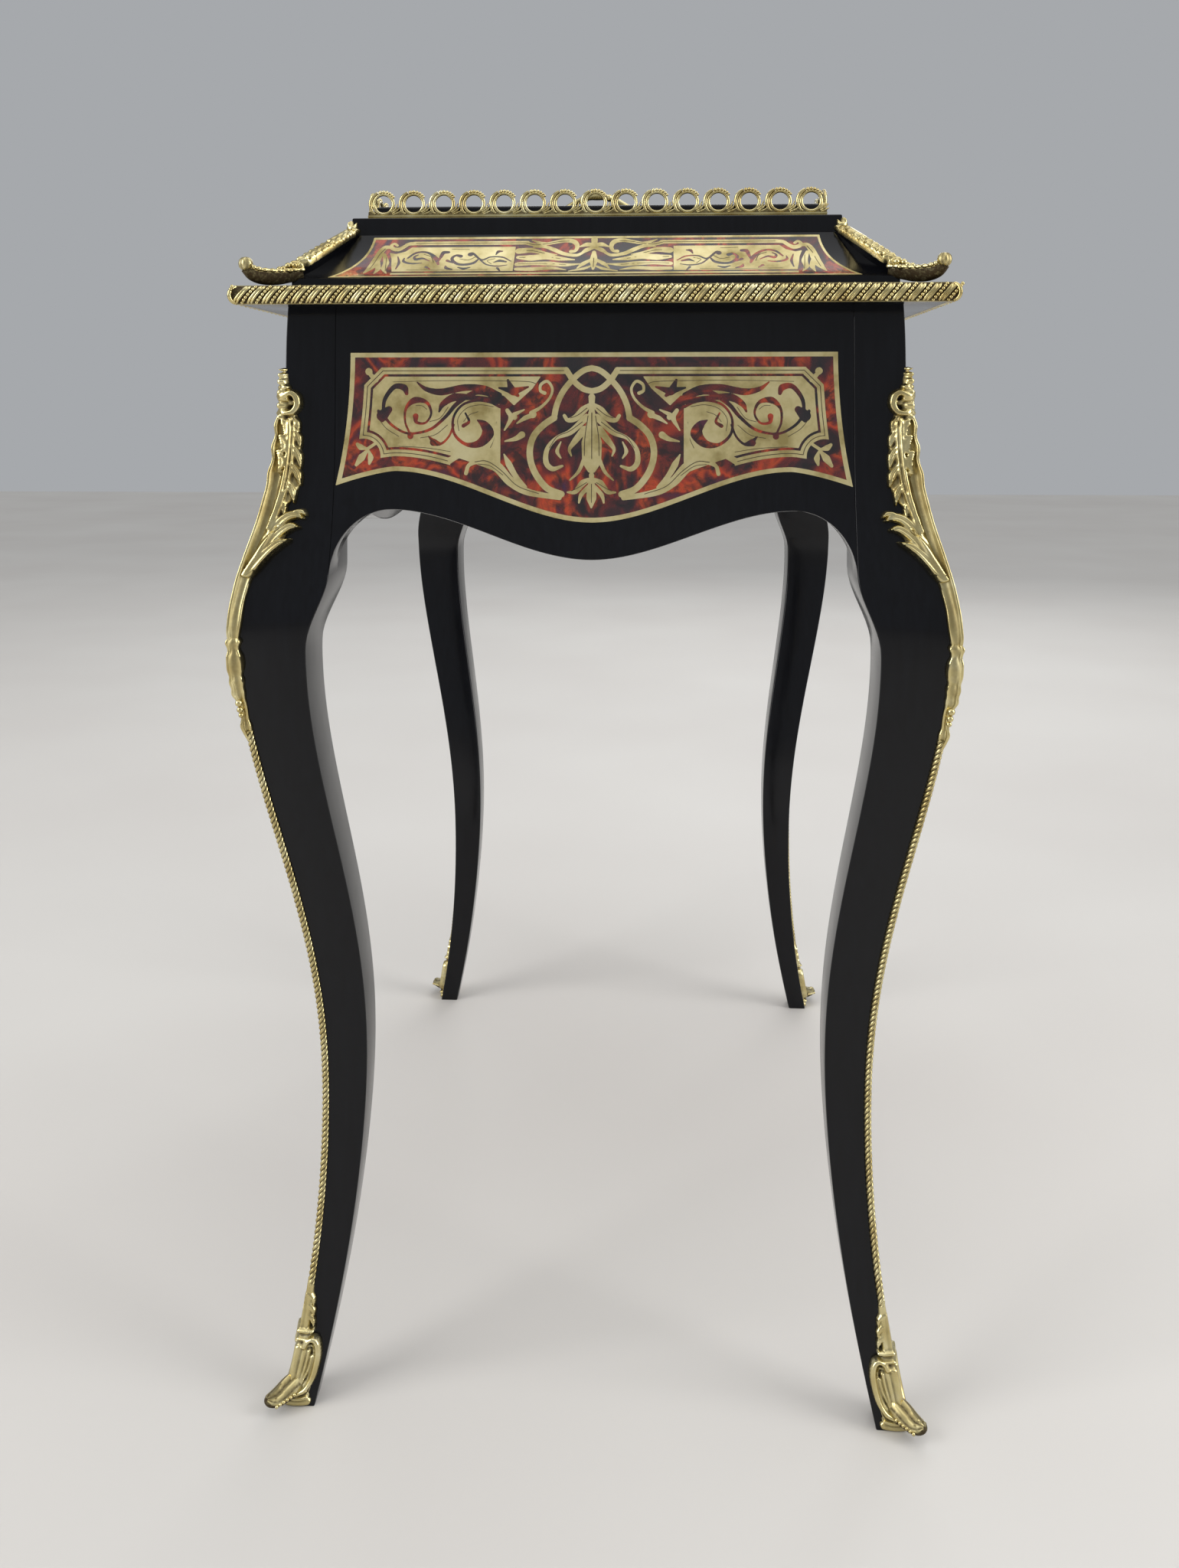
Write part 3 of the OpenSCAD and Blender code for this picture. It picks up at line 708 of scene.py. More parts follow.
def inlay_brass():
    """Sheet brass sawn for marquetry, rubbed level and a little tarnished: pale, with fine
    rubbing marks and duller clouds."""
    made, tree, shader = material("rubbed_sheet_brass", {"Metallic": 0.85})
    clouds = noise(tree, 24, detail=4, roughness=0.6)
    marks = noise(tree, 1.2, detail=3, stretch=(14, 14, 1))
    tone = ramp(tree, clouds, [(0.32, "#9c8d5c"), (0.5, "#cbbd8a"), (0.68, "#e0d4a4")])
    to(tree, shader, "Base Color", tone)
    to(tree, shader, "Roughness", ramp(tree, clouds, [(0.3, 0.52), (0.7, 0.38)]))
    bump(tree, shader, marks, 0.01)
    return made


def gilt_bronze():
    """Cast bronze, chased and fire-gilt: bright where it is burnished and worn, dark brown where
    an attribute marks hollows, undersides and gaps: old dirt there, with painted shade."""
    made, tree, shader = material("chased_gilt_bronze")
    hollow = add(tree, "ShaderNodeAttribute", attribute_name="recess")
    specks = noise(tree, 2.2, detail=5, roughness=0.7)
    clouds = noise(tree, 18, detail=3)
    level = add(tree, "ShaderNodeMath", {0: hollow.outputs["Fac"], 1: ramp(
        tree, specks, [(0.3, 0.7), (0.7, 1.25)])}, operation="MULTIPLY")
    gold = ramp(tree, clouds, [(0.3, "#b3a06a"), (0.55, "#d0c28d"), (0.75, "#e2d9ae")])
    # The dark colour of the hollows, undersides and gaps: dirt and painted shade
    shade_and_dirt = ramp(tree, specks, [(0.3, "#1c140b"), (0.7, "#453519")])
    blended(tree, shader, level, gold, shade_and_dirt)
    to(tree, shader, "Roughness", ramp(tree, level, [(0.0, 0.26), (0.8, 0.62)]))
    to(tree, shader, "Metallic", ramp(tree, level, [(0.2, 1.0), (1.0, 0.6)]))
    bump(tree, shader, specks, 0.05)
    return made


def engraver_mastic():
    """Black wax rubbed into the engraver's lines: dull and nearly black."""
    made, tree, shader = material("black_engraving_wax", {"Roughness": 0.6})
    grit = noise(tree, 1.5, detail=3)
    to(tree, shader, "Base Color", ramp(tree, grit, [(0.3, "#2a2013"), (0.7, "#4a3a20")]))
    bump(tree, shader, grit, 0.01)
    return made


def zinc():
    """Rolled zinc sheet, dull grey with a bloom of oxide in soft clouds."""
    made, tree, shader = material("dull_rolled_zinc", {"Metallic": 0.9})
    bloom = noise(tree, 30, detail=6, roughness=0.65)
    marks = noise(tree, 2, detail=2, stretch=(1, 20, 20))
    tone = ramp(tree, bloom, [(0.3, "#6b7073"), (0.55, "#8b9194"), (0.75, "#a9adad")])
    to(tree, shader, "Base Color", tone)
    to(tree, shader, "Roughness", ramp(tree, bloom, [(0.3, 0.38), (0.7, 0.62)]))
    bump(tree, shader, marks, 0.02)
    return made


def softwood():
    """Sawn pine, unfinished and darkened with age: straight grain with darker latewood."""
    made, tree, shader = material("aged_sawn_pine", {"Roughness": 0.75})
    warp = noise(tree, 60, detail=2)
    lines = noise(tree, 4, detail=4, stretch=(1, 30, 1), distortion=0.4)
    tone = ramp(tree, lines, [(0.3, "#7c5530"), (0.5, "#b58a57"), (0.7, "#c9a270")])
    shade = ramp(tree, warp, [(0.3, 0.75), (0.7, 1.0)])
    blended(tree, shader, 1.0, tone, shade, blend_type="MULTIPLY")
    bump(tree, shader, lines, 0.15)
    return made


def floor_paint():
    """Matt warm-white paint on the studio's floor, faintly clouded."""
    made, tree, shader = material("pale_studio_floor", {"Roughness": 0.7})
    clouds = noise(tree, 700, detail=2)
    to(tree, shader, "Base Color", ramp(tree, clouds, [(0.3, "#c9c5c0"), (0.7, "#cfccc7")]))
    return made


EBONY = ebonised_wood()
SHELL = tortoiseshell()
BRASS = inlay_brass()
BRONZE = gilt_bronze()
WAX = engraver_mastic()
ZINC = zinc()
PINE = softwood()


# Wood
def legs():
    solid = Solid()
    heights = np.concatenate([np.arange(0, EAR_Z + 6, 5), np.linspace(EAR_Z + 10, LEG_H, 36)])
    for k in range(4):
        rings = []
        for z in heights:
            far, near = float(face(z)), float(inner(z))
            square = [(far, far), (near, far), (near, near), (far, near)]
            ring = rounded(square, LEG_EDGES)
            rings.append(to_corner(np.column_stack([ring, np.full(len(ring), z)]), k))
        solid.add(*loft(rings))
    solid.make("cabriole_legs", EBONY, slot="ebonised_wood", replaces=named("leg", CORNERS))


def rail_edge(k, x):
    """Height of the rail's lower edge."""
    end = STILE_IN + spare(k)
    peak = end - ARCH_W
    x = np.minimum(np.abs(x), end)
    wave = mix(CENTRE_Z, ARCH_Z, ease(x / peak))
    arch = EAR_Z + (ARCH_Z - EAR_Z) * np.sqrt(np.maximum(0, 1 - ((x - peak) / ARCH_W) ** 2))
    return np.where(x < peak, wave, arch)


def frieze_rails():
    solid = Solid()
    for k in range(4):
        end = STILE_IN + spare(k)
        peak = end - ARCH_W
        half = np.concatenate([np.linspace(0, peak, 50)[:-1],
                               peak + ARCH_W * np.sin(np.linspace(0, math.pi / 2, 28))])
        columns = np.concatenate([-half[:0:-1], half])
        rings = []
        for x, z0 in zip(columns, rail_edge(k, columns)):
            up = z0 + RAIL_EDGE + (LEG_H - z0 - RAIL_EDGE) * np.linspace(0, 1, 44)
            front = [(float(face(z)), z) for z in up]
            foot = float(face(z0))
            back = [(RAIL_BACK, LEG_H), (RAIL_BACK, THIN_Z), (float(face(THIN_Z)) - RAIL_T, THIN_Z)]
            outline = front + back + [
                (foot - RAIL_T, z0 + RAIL_EDGE), (foot - RAIL_T + RAIL_EDGE, z0),
                (foot - RAIL_EDGE, z0), (foot - 0.35, z0 + 0.35)]
            rings.append(to_side([(x, -out, z) for out, z in outline], k))
        solid.add(*loft(rings))
    solid.make("frieze_rails", EBONY, slot="ebonised_wood", replaces=named("frieze_rail", SIDES))


def length_ends(ring, k):
    """Both mitred ends of a moulding on side k, from its outline of (outwards, z) points."""
    return [to_side(np.column_stack([m * (ring[:, 0] + spare(k)), -ring[:, 0], ring[:, 1]]), k)
            for m in (-1, 1)]


def mitred(solid, outline, rounds=0.0):
    """Adds one length per side of a moulding with the outline given."""
    ring = rounded(outline, rounds)
    for k in range(4):
        solid.add(*loft(length_ends(ring, k)))


def upper_boards():
    slab = Solid()
    mitred(slab, [(WELL_HALF, LEG_H), (SLAB_HALF, LEG_H), (SLAB_HALF, SLAB_TOP),
                  (WELL_HALF, SLAB_TOP)], [0, 0.3, 0.3, 0])
    slab.make("slab_boards", EBONY, slot="ebonised_wood",
              replaces=named("slab_board", SIDES))
    cove = Solid()
    arc = np.column_stack(hollow(np.linspace(0, COVE_ARC, 28))[:2])
    outline = [(WELL_HALF, SLAB_TOP), (COVE_HALF, SLAB_TOP), *arc, (WELL_HALF, COVE_TOP)]
    mitred(cove, outline)
    cove.make("cavetto_boards", EBONY, slot="ebonised_wood", crease=MOULDED,
              replaces=named("cavetto_board", SIDES))
    cap = Solid()
    mitred(cap, [(WELL_HALF, COVE_TOP), (CAP_HALF, COVE_TOP), (CAP_HALF, CAP_TOP),
                 (WELL_HALF, CAP_TOP)], [0, 0.3, 1.4, 0.8])
    cap.make("cap_boards", EBONY, slot="ebonised_wood",
             replaces=named("cap_board", SIDES))


# Frieze marquetry
def low_edge(k, x):
    """Height of the panel's lower edge."""
    end = STILE_IN + spare(k)
    shoulder, tip = end - SHOULDER_IN, end - TIP_IN
    x = np.minimum(np.abs(x), tip)
    t = np.clip((x - shoulder) / (tip - shoulder), 0, 1)
    wave = PANEL_LOW + SHOULDER_RISE * ease(np.clip(x / shoulder, 0, 1))
    return wave + (TIP_RISE - SHOULDER_RISE) * t ** 1.4


def panel_outline(k):
    """The panel's outline on its right half, closed along the middle."""
    end = STILE_IN + spare(k)
    tip, corner = end - TIP_IN, end - CORNER_IN
    x = np.linspace(0, tip, 70)
    t = np.linspace(0, 1, 14)[1:]
    side = np.column_stack([mix(tip, corner, 1 - (1 - t) ** 2),
                            mix(PANEL_LOW + TIP_RISE, PANEL_TOP, t)])
    return np.vstack([np.column_stack([x, low_edge(k, x)]), side, [(PAST_MIDDLE, PANEL_TOP)],
                      [(PAST_MIDDLE, PANEL_LOW)]])


# How far out of the panel's face the top and the bottom of each layer lie: the shell is a
# veneer, the brass stands a hair over it, and the wax of the engraver's lines over the brass
BRASS_LAYER = (0.16, -0.2)
SHELL_LAYER = (0.07, -1.2)
WAX_LAYER = (0.2, 0.12)
# Outlines of half a drawing are closed over here, past its middle and its end
PAST_MIDDLE = -40
PAST_END = 400
# Cells of the drawing board
CELL = 0.28

# Widths across the frieze panel from its edge inwards: its outer band, the distance to the
# strap, the strap, and the shell between the strap and the brass field
BAND = 3.0
BORDER = 9.6
STRAP = 4.4
GROOVE = 1.6

# Strokes of the frieze drawing, in (distance from the middle, z): points, half-widths
LYRE = [([(19.4, 599.4), (28.5, 603), (35.8, 611.5), (39.6, 620.7), (40, 629.6), (37.2, 637.6),
          (31, 644.2), (24.4, 648.6)], [2.1]),
        ([(24.6, 648.2), (22.6, 657.3), (18.2, 666.4), (10.8, 675), (5, 679.4), (0, 680.8)], [1.9])]
EYE = [([(16.6, 679.6), (11.8, 672.6), (6, 667.6), (0, 665.8)], [1.9])]
DROP = [([(0, 662), (0, 654)], [2.2, 1.6]),
        ([(0, 656), (0, 646), (0, 632), (0, 622), (0, 616)], [1.4, 3.2, 6.6, 6.2, 3.2]),
        ([(1, 657), (5.6, 653.6), (10.4, 648.6), (15.4, 647), (17.8, 650)],
         [1.4, 2.4, 2.2, 1.3, 1.1]),
        ([(3.4, 649), (13.5, 639.6), (23, 635.4), (28.8, 628.5), (29.6, 620), (25.4, 615.6),
          (19, 617.4)], [2.2, 1.9, 1.1, 1.5, 1.8, 1.6, 0.8]),
        ([(5, 641), (10.5, 634), (14.4, 628.4), (13.2, 624)], [2.4, 2, 1.1, 0.5]),
        ([(20, 633), (22.4, 627), (20, 622.6)], [0.4, 1.3, 0.5]),
        ([(4.5, 623), (8.4, 614), (14, 608.4)], [1.3, 1.1, 0.5])]
PALMETTE = [([(0, 611.6), (0, 611)], [1.7]),
            ([(0, 609.5), (0, 603), (0, 597), (0, 591)], [1, 3, 3.2, 0.6]),
            ([(0.8, 609), (5.8, 606.4), (10.4, 601), (15.4, 600.6)], [1.2, 2.1, 1.5, 0.6]),
            ([(2, 604), (6.6, 599), (8, 594)], [1.4, 1.4, 0.6])]
FLANKS = [([(39.4, 651.8), (32.9, 655.6), (27.4, 661.4), (25.6, 667.4), (28.8, 672.2),
            (33, 670.2), (33.4, 666.2), (30.6, 664.6)], [1.3, 0.9, 0.8, 0.9, 1, 0.9, 1.2]),
          ([(38.2, 650.8), (38.4, 650.6)], [2.3]),
          ([(38.4, 650.4), (43.5, 648.4), (48.6, 645)], [1.6, 1.5, 0.5]),
          ([(44, 653.8), (50.4, 650.6), (50.2, 649)], [0.5, 1.5, 1.8]),
          ([(55, 653.4), (52.6, 648.4), (56.8, 640.6)], [1.3, 1.7, 0.5]),
          ([(56.4, 633.4), (49.6, 635), (45.4, 637.6)], [0.5, 1.5, 2.2]),
          ([(57, 625), (53.8, 618.6), (49, 610.6), (42.4, 604)], [0.4, 2.1, 1.7, 0.7]),
          ([(81.6, 612.6), (79.6, 618), (71.7, 621.2), (61.5, 616.8), (52.6, 607.4),
            (41.4, 600.8), (20.6, 597)], [1.3, 1.2, 2.7, 3.3, 3, 2.2, 1.4]),
          ([(93, 620.6), (86, 624.2), (77, 626), (66, 621.8)], [2.1, 1.7, 1.1, 0.6])]
CORNER_LEAVES = [([(145.8, 678.6), (146, 678.8)], [2.3]), ([(146, 678), (141.6, 673.4)], [1, 2]),
                 ([(146.4, 627.6), (150.4, 622.6), (153.8, 617.8)], [0.7, 2.4, 1]),
                 ([(146.6, 628.4), (151, 629.4), (153.4, 631.4)], [0.6, 1.9, 1]),
                 ([(145.6, 627), (144.4, 622.6), (145.2, 618.6)], [0.6, 1.9, 0.8]),
                 ([(147, 628), (141.6, 631.6)], [1])]

# Cuts in the brass field of the frieze, which show the shell under it
SCROLLS = [([(60, 660.6), (68.4, 664.6), (77.3, 664.6), (88.4, 657.3), (95, 649.6), (104, 641.8),
             (113, 638.8), (121.8, 638.8), (130.7, 643.8), (136, 650)], [1.9, 1.6, 1, 0.75, 1]),
           ([(119.4, 639.6), (121.9, 646), (121.4, 654.6), (115.6, 660), (107.8, 658.6),
             (104.8, 651.6), (108.4, 645.4), (114.4, 645.6), (115, 649.6)],
            [0.7, 0.7, 0.9, 2.2, 1.1, 0.7, 0.7, 1, 1.9]),
           ([(118.4, 637.4), (118.4, 636.6)], [2]),
           ([(137, 650), (132.6, 654)], [3.8, 2.2]), ([(137, 647), (139.6, 653)], [1.4, 1]),
           ([(136.6, 652), (135.2, 661), (129, 668.8), (122.6, 668.2), (121, 664.4)],
            [1, 1.3, 1.6, 2.2, 1.2]),
           ([(114, 671.6), (108, 667.2), (98, 665.4), (83, 668.2), (70, 667.6), (60, 663.4)],
            [0.5, 1.5, 2.3, 2.2, 2, 1.6]),
           ([(99.6, 652.6), (97, 657.6), (89, 662), (76, 661.6), (66, 660.6), (60, 658.6)],
            [0.6, 1.9, 2.6, 1.5, 1.3, 1.3]),
           ([(60, 655.8), (66, 658.6), (75, 659.8), (84.5, 656.8), (90.2, 648.6), (89.6, 638.2),
             (82, 631.4), (73, 632), (67.6, 638.4), (70, 644), (74.4, 647)],
            [1, 0.8, 0.8, 0.8, 0.8, 0.9, 1.1, 2.6, 4, 2.6, 0.5]),
           ([(90, 644), (93, 636.6), (98, 631.8), (103.2, 632.6)], [0.7, 0.7, 0.8, 2.4]),
           ([(103, 633), (106.4, 636.4)], [1.6, 0.5]),
           ([(82.4, 651.6), (80, 646.2), (83.6, 643.4)], [0.6, 0.9, 1.3]),
           ([(60.4, 668), (52, 666), (48, 663)], [0.6, 2.4, 1]),
           ([(54.6, 673), (52, 666.6)], [0.8, 2.6]), ([(41.4, 668.6), (51, 665.6)], [0.6, 2.6])]
# On the long sides the scrolls come twice, so far apart, with the veins from here outwards
SCROLL_STEP = 103
SCROLLS_FROM = 58

# Veins that the engraver cut in the brass
VEINS = [([(0, 652), (0, 622)], [0.3, 0.25]), ([(2.4, 650), (4.4, 636), (4.8, 624)], [0.25]),
         ([(3, 655), (9, 650.4), (14, 648.4)], [0.25, 0.2]),
         ([(6, 646), (14.4, 640), (22.4, 636.4), (27.6, 629)], [0.25, 0.2]),
         ([(0, 606), (0, 594)], [0.25, 0.2]), ([(3, 607), (8.6, 603.6), (13, 601.4)], [0.22]),
         ([(76, 620), (68, 620.4), (58.6, 614.4), (48, 604.6), (34, 599.6)], [0.28, 0.22]),
         ([(74, 618.6), (66, 617.4), (57.4, 611.4)], [0.2]),
         ([(36, 670.6), (44, 672.2), (80, 672.8), (106, 672.6), (130, 672)], [0.22, 0.16]),
         ([(64, 655.8), (73, 657), (81.8, 654.6), (87.2, 648), (86.6, 640)], [0.2]),
         ([(74, 652.6), (79.8, 650.4), (83.6, 646)], [0.2]),
         ([(94, 644), (102, 637.6), (112, 635.4)], [0.2]),
         ([(126, 636.4), (134, 641.4), (138.8, 647)], [0.2]),
         ([(107.6, 654), (110.8, 656.4), (115, 656.6)], [0.18]),
         ([(93.6, 655.6), (99, 648.4), (106, 646)], [0.2]),
         ([(62, 646), (63, 636), (66, 629)], [0.2]), ([(92, 626.6), (108, 629), (126, 630)], [0.2])]


def frieze_sheet(k):
    """The drawing board of side k, bent so that strokes follow the panel's lower edge."""
    sheet = Sheet(STILE_IN + spare(k) + 1, PANEL_LOW - 1, PANEL_TOP + 1, CELL)
    if k % 2:
        sag = low_edge(k, sheet.X) - low_edge(0, np.minimum(sheet.X, STILE_IN - SHOULDER_IN))
        share = np.clip((660 - sheet.Y) / 60, 0, 1)
        sheet.bent = sheet.Y - sag * ease(share)
    return sheet


def strokes(sheet, drawing, shift=0.0):
    return both(*[sheet.stroke(p, w, shift=shift) for p, w in drawing])


def frieze_drawing(k):
    """Brass of the frieze panel, the whole panel and the middle line of the strap."""
    sheet = frieze_sheet(k)
    x, y = sheet.X, sheet.Y
    long = spare(k)
    panel = sheet.polygon(panel_outline(k), bent=False)
    end = STILE_IN + long
    # The frame's upper corner is cut off straight, and its outer end hollowed round a centre
    upper = ((x - (end - 25.5)) + (y - (PANEL_TOP - 14.6))) / math.sqrt(2)
    lower = 11.5 - np.hypot(x - (end - 18.6), y - 623.5)
    framed = within(panel + BORDER, upper, lower)
    strap = within(framed, -framed - STRAP)
    # The strap runs from here outwards, along the top and along the lower edge
    kept = np.where(y > 671, 16.5 - x, 92 - x)
    field = within(framed + STRAP + GROOVE, sheet.polygon(
        [(33.2, 690), (33.4, 675), (38.5, 667.6), (50.6, 656.6), (57.4, 663), (61.4, 663),
         (59.4, 654), (59.4, 560), (PAST_END, 560), (PAST_END, 690)], bent=False))
    groups = [0, SCROLL_STEP] if k % 2 else [0]
    cuts = both(*[strokes(sheet, SCROLLS, shift) for shift in groups])
    brass = both(within(panel, -panel - BAND), within(strap, kept), within(field, -cuts),
                 *[strokes(sheet, d) for d in (LYRE, EYE, DROP, PALMETTE, FLANKS)],
                 strokes(sheet, CORNER_LEAVES, long))
    middle = within(np.abs(framed + STRAP / 2) - 0.25, kept + 1.5)
    return sheet, within(brass, panel), panel, middle


def marquetry(kind, drawing, on_surface, pitch, ground_pitch, veins, repeated=()):
    """The brass, tortoiseshell and wax of the four panels of a kind, cut into triangles of about
    the pitches given; the repeated veins come again on the long sides."""
    brass, shell, wax = Solid(), Solid(), Solid()
    for k in (0, 1):
        sheet, metal, panel, *middle = drawing(k)
        cut = cut_out(*sheet.whole(metal), pitch)
        ground = cut_out(*sheet.whole(panel), ground_pitch)
        lines = [cut_out(*sheet.whole(field), pitch) for field in middle]
        for side in (k, k + 2):
            place = on_surface(side)
            add_sheet(brass, cut, place, *BRASS_LAYER)
            add_sheet(shell, ground, place, *SHELL_LAYER)
            for line in lines:
                add_sheet(wax, line, place, *WAX_LAYER)
            engrave(wax, place, veins)
            if k:
                engrave(wax, place, repeated, SCROLL_STEP)
    brass.make(kind + "_brass", BRASS, slot="boulle_marquetry")
    shell.make(kind + "_tortoiseshell", SHELL, slot="boulle_marquetry",
               replaces=named(kind + "_marquetry", SIDES))
    wax.make(kind + "_engraving", WAX, slot="boulle_marquetry")


def engrave(solid, place, veins, shift=0):
    """Adds the veins on both sides of the middle, or once where they run along it."""
    for points, widths in veins:
        path = spline(points, 6) + (shift, 0)
        for m in ([1] if path[:, 0].max() < 0.1 else [-1, 1]):
            add_ribbon(solid, path * (m, 1), widths, place, *WAX_LAYER)


# Cavetto marquetry
# How far the panel's ends lie in at its foot and at its top, and how hollow they are
FOOT_INSET = 21.5
TOP_INSET = 15.5
END_HOLLOW = 3.2
# The panel's distance from the cavetto's foot and top, and its brass outline
MARGIN = 2
OUTLINE = 1.6
# The brass strip along the foot: its middle height, half-width and end
FOOT_LINE = 7.1
FOOT_HALF = 1.3
FOOT_END = 134
# Arc length up to the strap along the top, and how far from the middle the field's points
# start that a long side's end takes with it
STRAP_UP = 39.8
LONG_FROM = 60

# Strokes of the cavetto's drawing, in (distance from the middle, height): points, half-widths.
# The heights are arc lengths up a deeper hollow, of 45 mm radius, on which the photo was first
# measured; up_cove() carries them to this one.
COVE_CENTRE = [([(46, 41.8), (40, 40.2), (33, 40.8), (26, 42.2), (19, 43.4), (13.5, 42.4),
                 (11.4, 39), (12.6, 35.2), (15.4, 34.6)],
                [1.5, 1.3, 1.1, 1.3, 1.6, 1.8, 1.5, 1.1, 1.5]),
               ([(42, 43.8), (37, 42), (31.6, 41.4)], [0.4, 1, 0.6]),
               ([(41, 38.4), (33, 38.6), (27, 36.2), (20, 32.6), (12, 31.2), (7.6, 33.4)],
                [0.4, 1.3, 1.7, 1.6, 1.4, 1]),
               ([(50.4, 35.2), (42, 35.8), (33, 33.2), (25, 31.8)], [2.6, 2.2, 1.4, 0.4]),
               ([(50.4, 29.6), (42, 29), (32, 30), (23, 28.2), (13, 27)], [1.6, 3, 2.8, 2.2, 0.6]),
               ([(50.4, 22.6), (40, 23.4), (29, 23), (19, 21.6), (9, 22.6)],
                [2.2, 1.8, 2.4, 2, 0.6]),
               ([(50.4, 16.8), (40, 16.6), (28, 17.8), (18, 15.4)], [2, 2.4, 2, 0.5]),
               ([(0, 39.8), (5, 40.2), (9.4, 38.6)], [1.5, 1.8, 0.6]),
               ([(0, 38), (5, 35.8), (9.2, 32.2)], [1.2, 1.8, 0.6]),
               ([(0, 38), (0, 44)], [1.6, 2.2]), ([(0, 34), (0, 26), (0, 16)], [1.3, 2.8, 0.8]),
               ([(1.4, 27), (6.6, 23), (10.6, 17.4)], [1.2, 1.8, 0.5]),
               ([(2, 20), (7, 16.6), (16, 13.6)], [0.8, 1.6, 0.5])]
COVE_CORNER = [([(121, 41.9), (126, 41.4), (129.2, 39), (132.6, 37.2), (136.4, 38),
                 (137.6, 40.4), (135.6, 41.8), (133.6, 40.4)],
                [1.5, 1.4, 1.4, 1.7, 1.6, 1.1, 0.9, 1]),
               ([(137, 38.8), (141.4, 38.8), (144.2, 35), (146, 28), (148.4, 20), (152, 12)],
                [1.1, 1.8, 2.3, 2.9, 2.6, 0.5]),
               ([(141.4, 33), (139, 25), (139.6, 18), (136.8, 11.6)], [1.2, 2.1, 1.7, 0.4]),
               ([(145, 25), (143.4, 18), (145, 11)], [2, 1.8, 0.4])]

# The brass field and the cuts in it, which show the shell
COVE_FIELD = [(53, 14.2), (53, 38.8), (123.4, 38.8), (127.4, 35.4), (133.4, 33.4), (138, 34.4),
              (136, 29), (135, 22), (133.6, 14.2)]
COVE_CUTS = [([(61.6, 35.2), (64.4, 34.8), (65.8, 32.2)], [0.5, 1.2, 0.4]),
             ([(55.4, 26), (61, 29.8), (69, 30.2), (75, 27.4), (80.8, 33), (83, 32.6)],
              [0.5, 0.7, 0.6, 0.8, 0.9, 1.9]),
             ([(75.6, 27), (71, 22.4), (64, 20.6), (57.4, 22)], [0.6, 0.7, 0.8, 0.4]),
             ([(58.6, 25.4), (63, 26.4), (66.6, 24.8)], [0.9, 1.3, 0.4]),
             ([(77, 28.6), (80, 24.4), (85, 22.6), (90, 23), (94, 26.2), (95, 29.4), (92.6, 31.8),
               (89.4, 31)], [0.5, 1.2, 1.3, 1.2, 1.2, 1.1, 0.9, 1.5]),
             ([(94, 24.6), (98, 26.8)], [0.6, 1.2]),
             ([(98, 34.6), (101.4, 34.2), (102.6, 31), (104, 26.6)], [1.1, 1.5, 1.2, 0.6]),
             ([(103.6, 23), (106, 29), (110.6, 33.6), (116, 35), (121, 33.6), (125, 29.6)],
              [0.8, 1.7, 1, 0.8, 0.9, 0.7]),
             ([(110, 26.6), (115, 29.2), (119.4, 28.2), (120.8, 30.6), (118.4, 32.4)],
              [0.4, 0.9, 1.2, 0.8, 0.5]),
             ([(115, 24.6), (120, 24), (124.4, 24.6), (127.6, 26.6), (127.4, 29.6)],
              [0.4, 0.8, 1, 1, 0.4]),
             ([(82, 19.2), (86, 17.8), (90, 19.4)], [0.5, 1.4, 0.5]),
             ([(94, 17), (97.6, 18.6), (98.6, 21.4)], [0.8, 1.4, 0.4]),
             ([(108.6, 17.4), (111.4, 20)], [0.6, 1.1]), ([(63.6, 18.4), (61.4, 14)], [1, 0.5]),
             ([(132, 31), (130.4, 25), (131.4, 18)], [0.4, 1, 0.5])]
COVE_VEINS = [([(50, 29.6), (42, 29.4), (32, 30), (22, 28)], [0.3, 0.2]),
              ([(50, 35.2), (42, 35.4), (33, 33.2)], [0.25]),
              ([(50, 23), (40, 23.4), (29, 23), (18, 21.6)], [0.25]),
              ([(141.4, 38), (144.6, 33), (146.4, 27), (149, 18)], [0.3, 0.2]),
              ([(46, 41.8), (40, 40.3), (33, 40.9), (24, 42.6), (17, 43)], [0.25, 0.2]),
              ([(0, 32), (0, 19)], [0.25]), ([(46, 41.9), (121, 41.9)], [0.22]),
              ([(84, 36.8), (96, 37.2)], [0.2]), ([(70, 16.4), (92, 15.8), (124, 16.4)], [0.2]),
              ([(79, 30.6), (84, 27.4), (90, 28.6)], [0.25]),
              ([(107, 25), (109.4, 30.6), (114.6, 33)], [0.25]),
              ([(66, 28.6), (71, 26.6), (68, 23)], [0.22]),
              ([(139.6, 32), (138.8, 22), (138, 15)], [0.22])]

# Each point stays where the camera sees it. Heights up this flatter hollow grow by the stretch,
# less a drop that builds up over about the reach from the foot
COVE_STRETCH = 1.1309
COVE_DROP = 7.815
COVE_REACH = 10.783


def up_cove(v):
    """The arc length up this cavetto for one up the deeper hollow: a fitted curve."""
    return COVE_STRETCH * v - COVE_DROP * (1 - math.exp(-v / COVE_REACH))


def on_cove(drawing):
    return [([(x, up_cove(v)) for x, v in points], widths) for points, widths in drawing]


